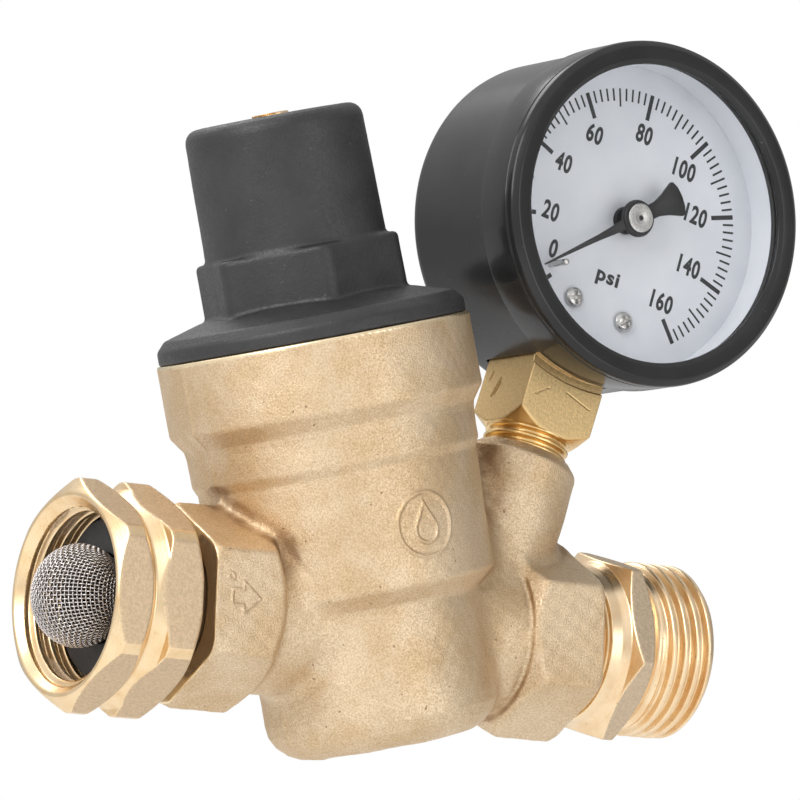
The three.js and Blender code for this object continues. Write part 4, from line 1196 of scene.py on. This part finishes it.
def make_needle():
    """The pointer, from its tip round one side of the hub to the fan-shaped tail and back."""
    hub = NEEDLE.hub
    half = [(0.12, NEEDLE.tip), (0.45, 8.0), (0.8, hub - 0.1)]
    start, end = math.radians(74), math.radians(-66)
    half += [(hub * math.cos(start + (end - start) * k / 10), hub * math.sin(start + (end - start) * k / 10))
             for k in range(11)]
    tail_end = (0, NEEDLE.tail)
    tail = soften([(1.18, -2.7), (1.2, -4.0, 1.5), (1.75, -5.8, 3), (2.95, -8.4, 0.55), (1.6, -9.05, 2),
                   tail_end], 6)
    half += tail[:-1]
    outline = half + [tail_end] + [(-x, y) for x, y in reversed(half)]
    spin = Matrix.Rotation(math.radians(NEEDLE.rest), 2)
    outline = [tuple(spin @ Vector(p)) for p in outline]
    mesh = plate("needle_blade", outline, NEEDLE.low, NEEDLE.high, 0.1)
    add_piece(mesh, DIAL, "pointer_black", ["pointer"], body="needle")
    rim = [(0, NEEDLE.high), (2.85, NEEDLE.high, 0.1), (2.7, 4.08, 0.12), (2.3, 4.08, 0.1), (0, 4.05)]
    turned_piece("needle_hub", rim, DIAL, "pointer_black", body="needle", segments=64)
    cap = [(0, 4.1), (2.25, 4.1, 0.05), (2.25, 4.5, 0.1), (2.12, 4.6, 0.06), (0.42, 4.6, 0.04),
           (0.38, 4.4, 0.03), (0, 4.4)]
    turned_piece("needle_cap", cap, DIAL, "stainless", ["pointer_cap"], body="needle", segments=64)
    dot = [(0, 4.41), (0.36, 4.41, 0.03), (0.36, 4.5, 0.03), (0, 4.5)]
    turned_piece("needle_dot", dot, DIAL, "pointer_black", body="needle", segments=32)


# ---- inner parts kept from the CAD model
GAUGE_SIDE = 75.0


def finish_cad_nodes():
    slots = {part["node"]: part["material_slot"] for part in frame["record"]["subparts"]}
    for name, node in frame["nodes"].items():
        centre = sum((node.matrix_world @ Vector(corner) for corner in node.bound_box), Vector()) / 8
        axis = DIAL if centre.x > GAUGE_SIDE * MM else BONNET
        note_local(node.data, axis.inverted() @ node.matrix_world)
        node.data.materials.clear()
        node.data.materials.append(FINISHES[slots[name]])
        node.data.shade_smooth()
        node.data.set_sharp_from_angle(angle=math.radians(30))


# ---- floor, light and camera
CAMERA = Sizes(azimuth=-32.91, elevation=-6.98, roll=2.11, aim=(57.78, 0, 34.56), away=1200, lens=354.9)


def camera_axes():
    """The camera's right, up and backward directions."""
    azimuth, elevation = math.radians(CAMERA.azimuth), math.radians(CAMERA.elevation)
    back = Vector((math.sin(azimuth) * math.cos(elevation), -math.cos(azimuth) * math.cos(elevation),
                   math.sin(elevation)))
    right = (-back).cross(Vector((0, 0, 1))).normalized()
    up = right.cross(-back)
    return right, up, back


def make_camera():
    right, up, back = camera_axes()
    roll = math.radians(CAMERA.roll)
    level = math.cos(roll) * right + math.sin(roll) * up
    upright = -math.sin(roll) * right + math.cos(roll) * up
    data = bpy.data.cameras.new("camera")
    data.lens = CAMERA.lens
    data.sensor_width = 36
    data.clip_start, data.clip_end = 0.05, 20
    camera = placed("camera", data)
    place = Matrix((level, upright, back)).transposed().to_4x4()
    place.translation = (Vector(CAMERA.aim) + back * CAMERA.away) * MM
    camera.matrix_world = place
    bpy.context.scene.camera = camera


def softbox(name, right_part, up_part, back_part, size, power):
    """A square area light aimed at the object, placed in the camera's directions."""
    right, up, back = camera_axes()
    target = Vector(CAMERA.aim) * MM
    data = bpy.data.lights.new(name, "AREA")
    data.size = size
    data.energy = power
    lamp = placed(name, data)
    place = target + right * right_part + up * up_part + back * back_part
    facing = (place - target).to_track_quat("Z", "Y").to_matrix().to_4x4()
    lamp.matrix_world = Matrix.Translation(place) @ facing
    lamp.visible_camera = False


def make_world():
    """White behind the object; round it, light that falls off away from the upper left front."""
    world = bpy.data.worlds.new("studio")
    bpy.context.scene.world = world
    world.use_nodes = True
    tree = world.node_tree
    tree.nodes.clear()

    def add(kind, *sources, **settings):
        """A node whose first inputs are the sources, sockets or plain values."""
        node = tree.nodes.new("ShaderNode" + kind)
        for title, value in settings.items():
            setattr(node, title, value)
        for source, target in zip(sources, node.inputs):
            if isinstance(source, bpy.types.NodeSocket):
                tree.links.new(source, target)
            else:
                target.default_value = source
        return node

    right, up, back = camera_axes()
    key = (up * 0.75 - right * 0.45 + back * 0.35).normalized()
    towards = add("VectorMath", add("TexCoord").outputs["Generated"], key, operation="DOT_PRODUCT")
    spread = add("MapRange", towards.outputs["Value"], -1, 1)
    ramp = add("ValToRGB", spread.outputs[0])
    ramp.color_ramp.elements[0].color = (0.20, 0.19, 0.18, 1)
    ramp.color_ramp.elements[1].color = (1.15, 1.15, 1.16, 1)
    ramp.color_ramp.elements.new(0.5).color = (0.53, 0.53, 0.53, 1)
    soft = add("Background", ramp.outputs[0])
    white = add("Background", (1, 1, 1, 1))
    seen = add("LightPath").outputs["Is Camera Ray"]
    chosen = add("MixShader", seen, soft.outputs[0], white.outputs[0])
    add("OutputWorld", chosen.outputs[0])


def make_floor():
    """A pale floor, below the camera so that it stays out of the main view."""
    form = bmesh.new()
    bmesh.ops.create_grid(form, x_segments=4, y_segments=4, size=6)
    mesh = finished_mesh("floor", form)
    floor = placed("floor", mesh)
    floor.location.z = -0.25
    p = Paint("floor_paint", (0.86, 0.86, 0.86), 0.7)
    mesh.materials.append(p.finish(p.mix(p.noise(300, 2), (0.85, 0.85, 0.85), (0.88, 0.88, 0.88))))


def make_studio():
    make_camera()
    make_world()
    make_floor()
    softbox("key", -0.55, 0.55, 0.7, 0.6, 6.0)
    softbox("fill", 0.75, 0.05, 0.7, 0.6, 2.2)
    softbox("low", -0.2, -0.5, 0.8, 0.5, 1.0)
    softbox("rim", -0.35, 0.75, -0.45, 0.6, 3.0)
    view = bpy.context.scene.view_settings
    view.view_transform = "Standard"
    view.look = "None"


make_studio()
finish_cad_nodes()
make_body()
make_nut()
make_tailpiece()
make_washer()
make_filter()
make_adapter()
make_bonnet()
make_screw()
make_socket()
make_case()
make_bezel()
make_lens()
make_dial()
make_dial_screws()
make_stop_pin()
make_needle()
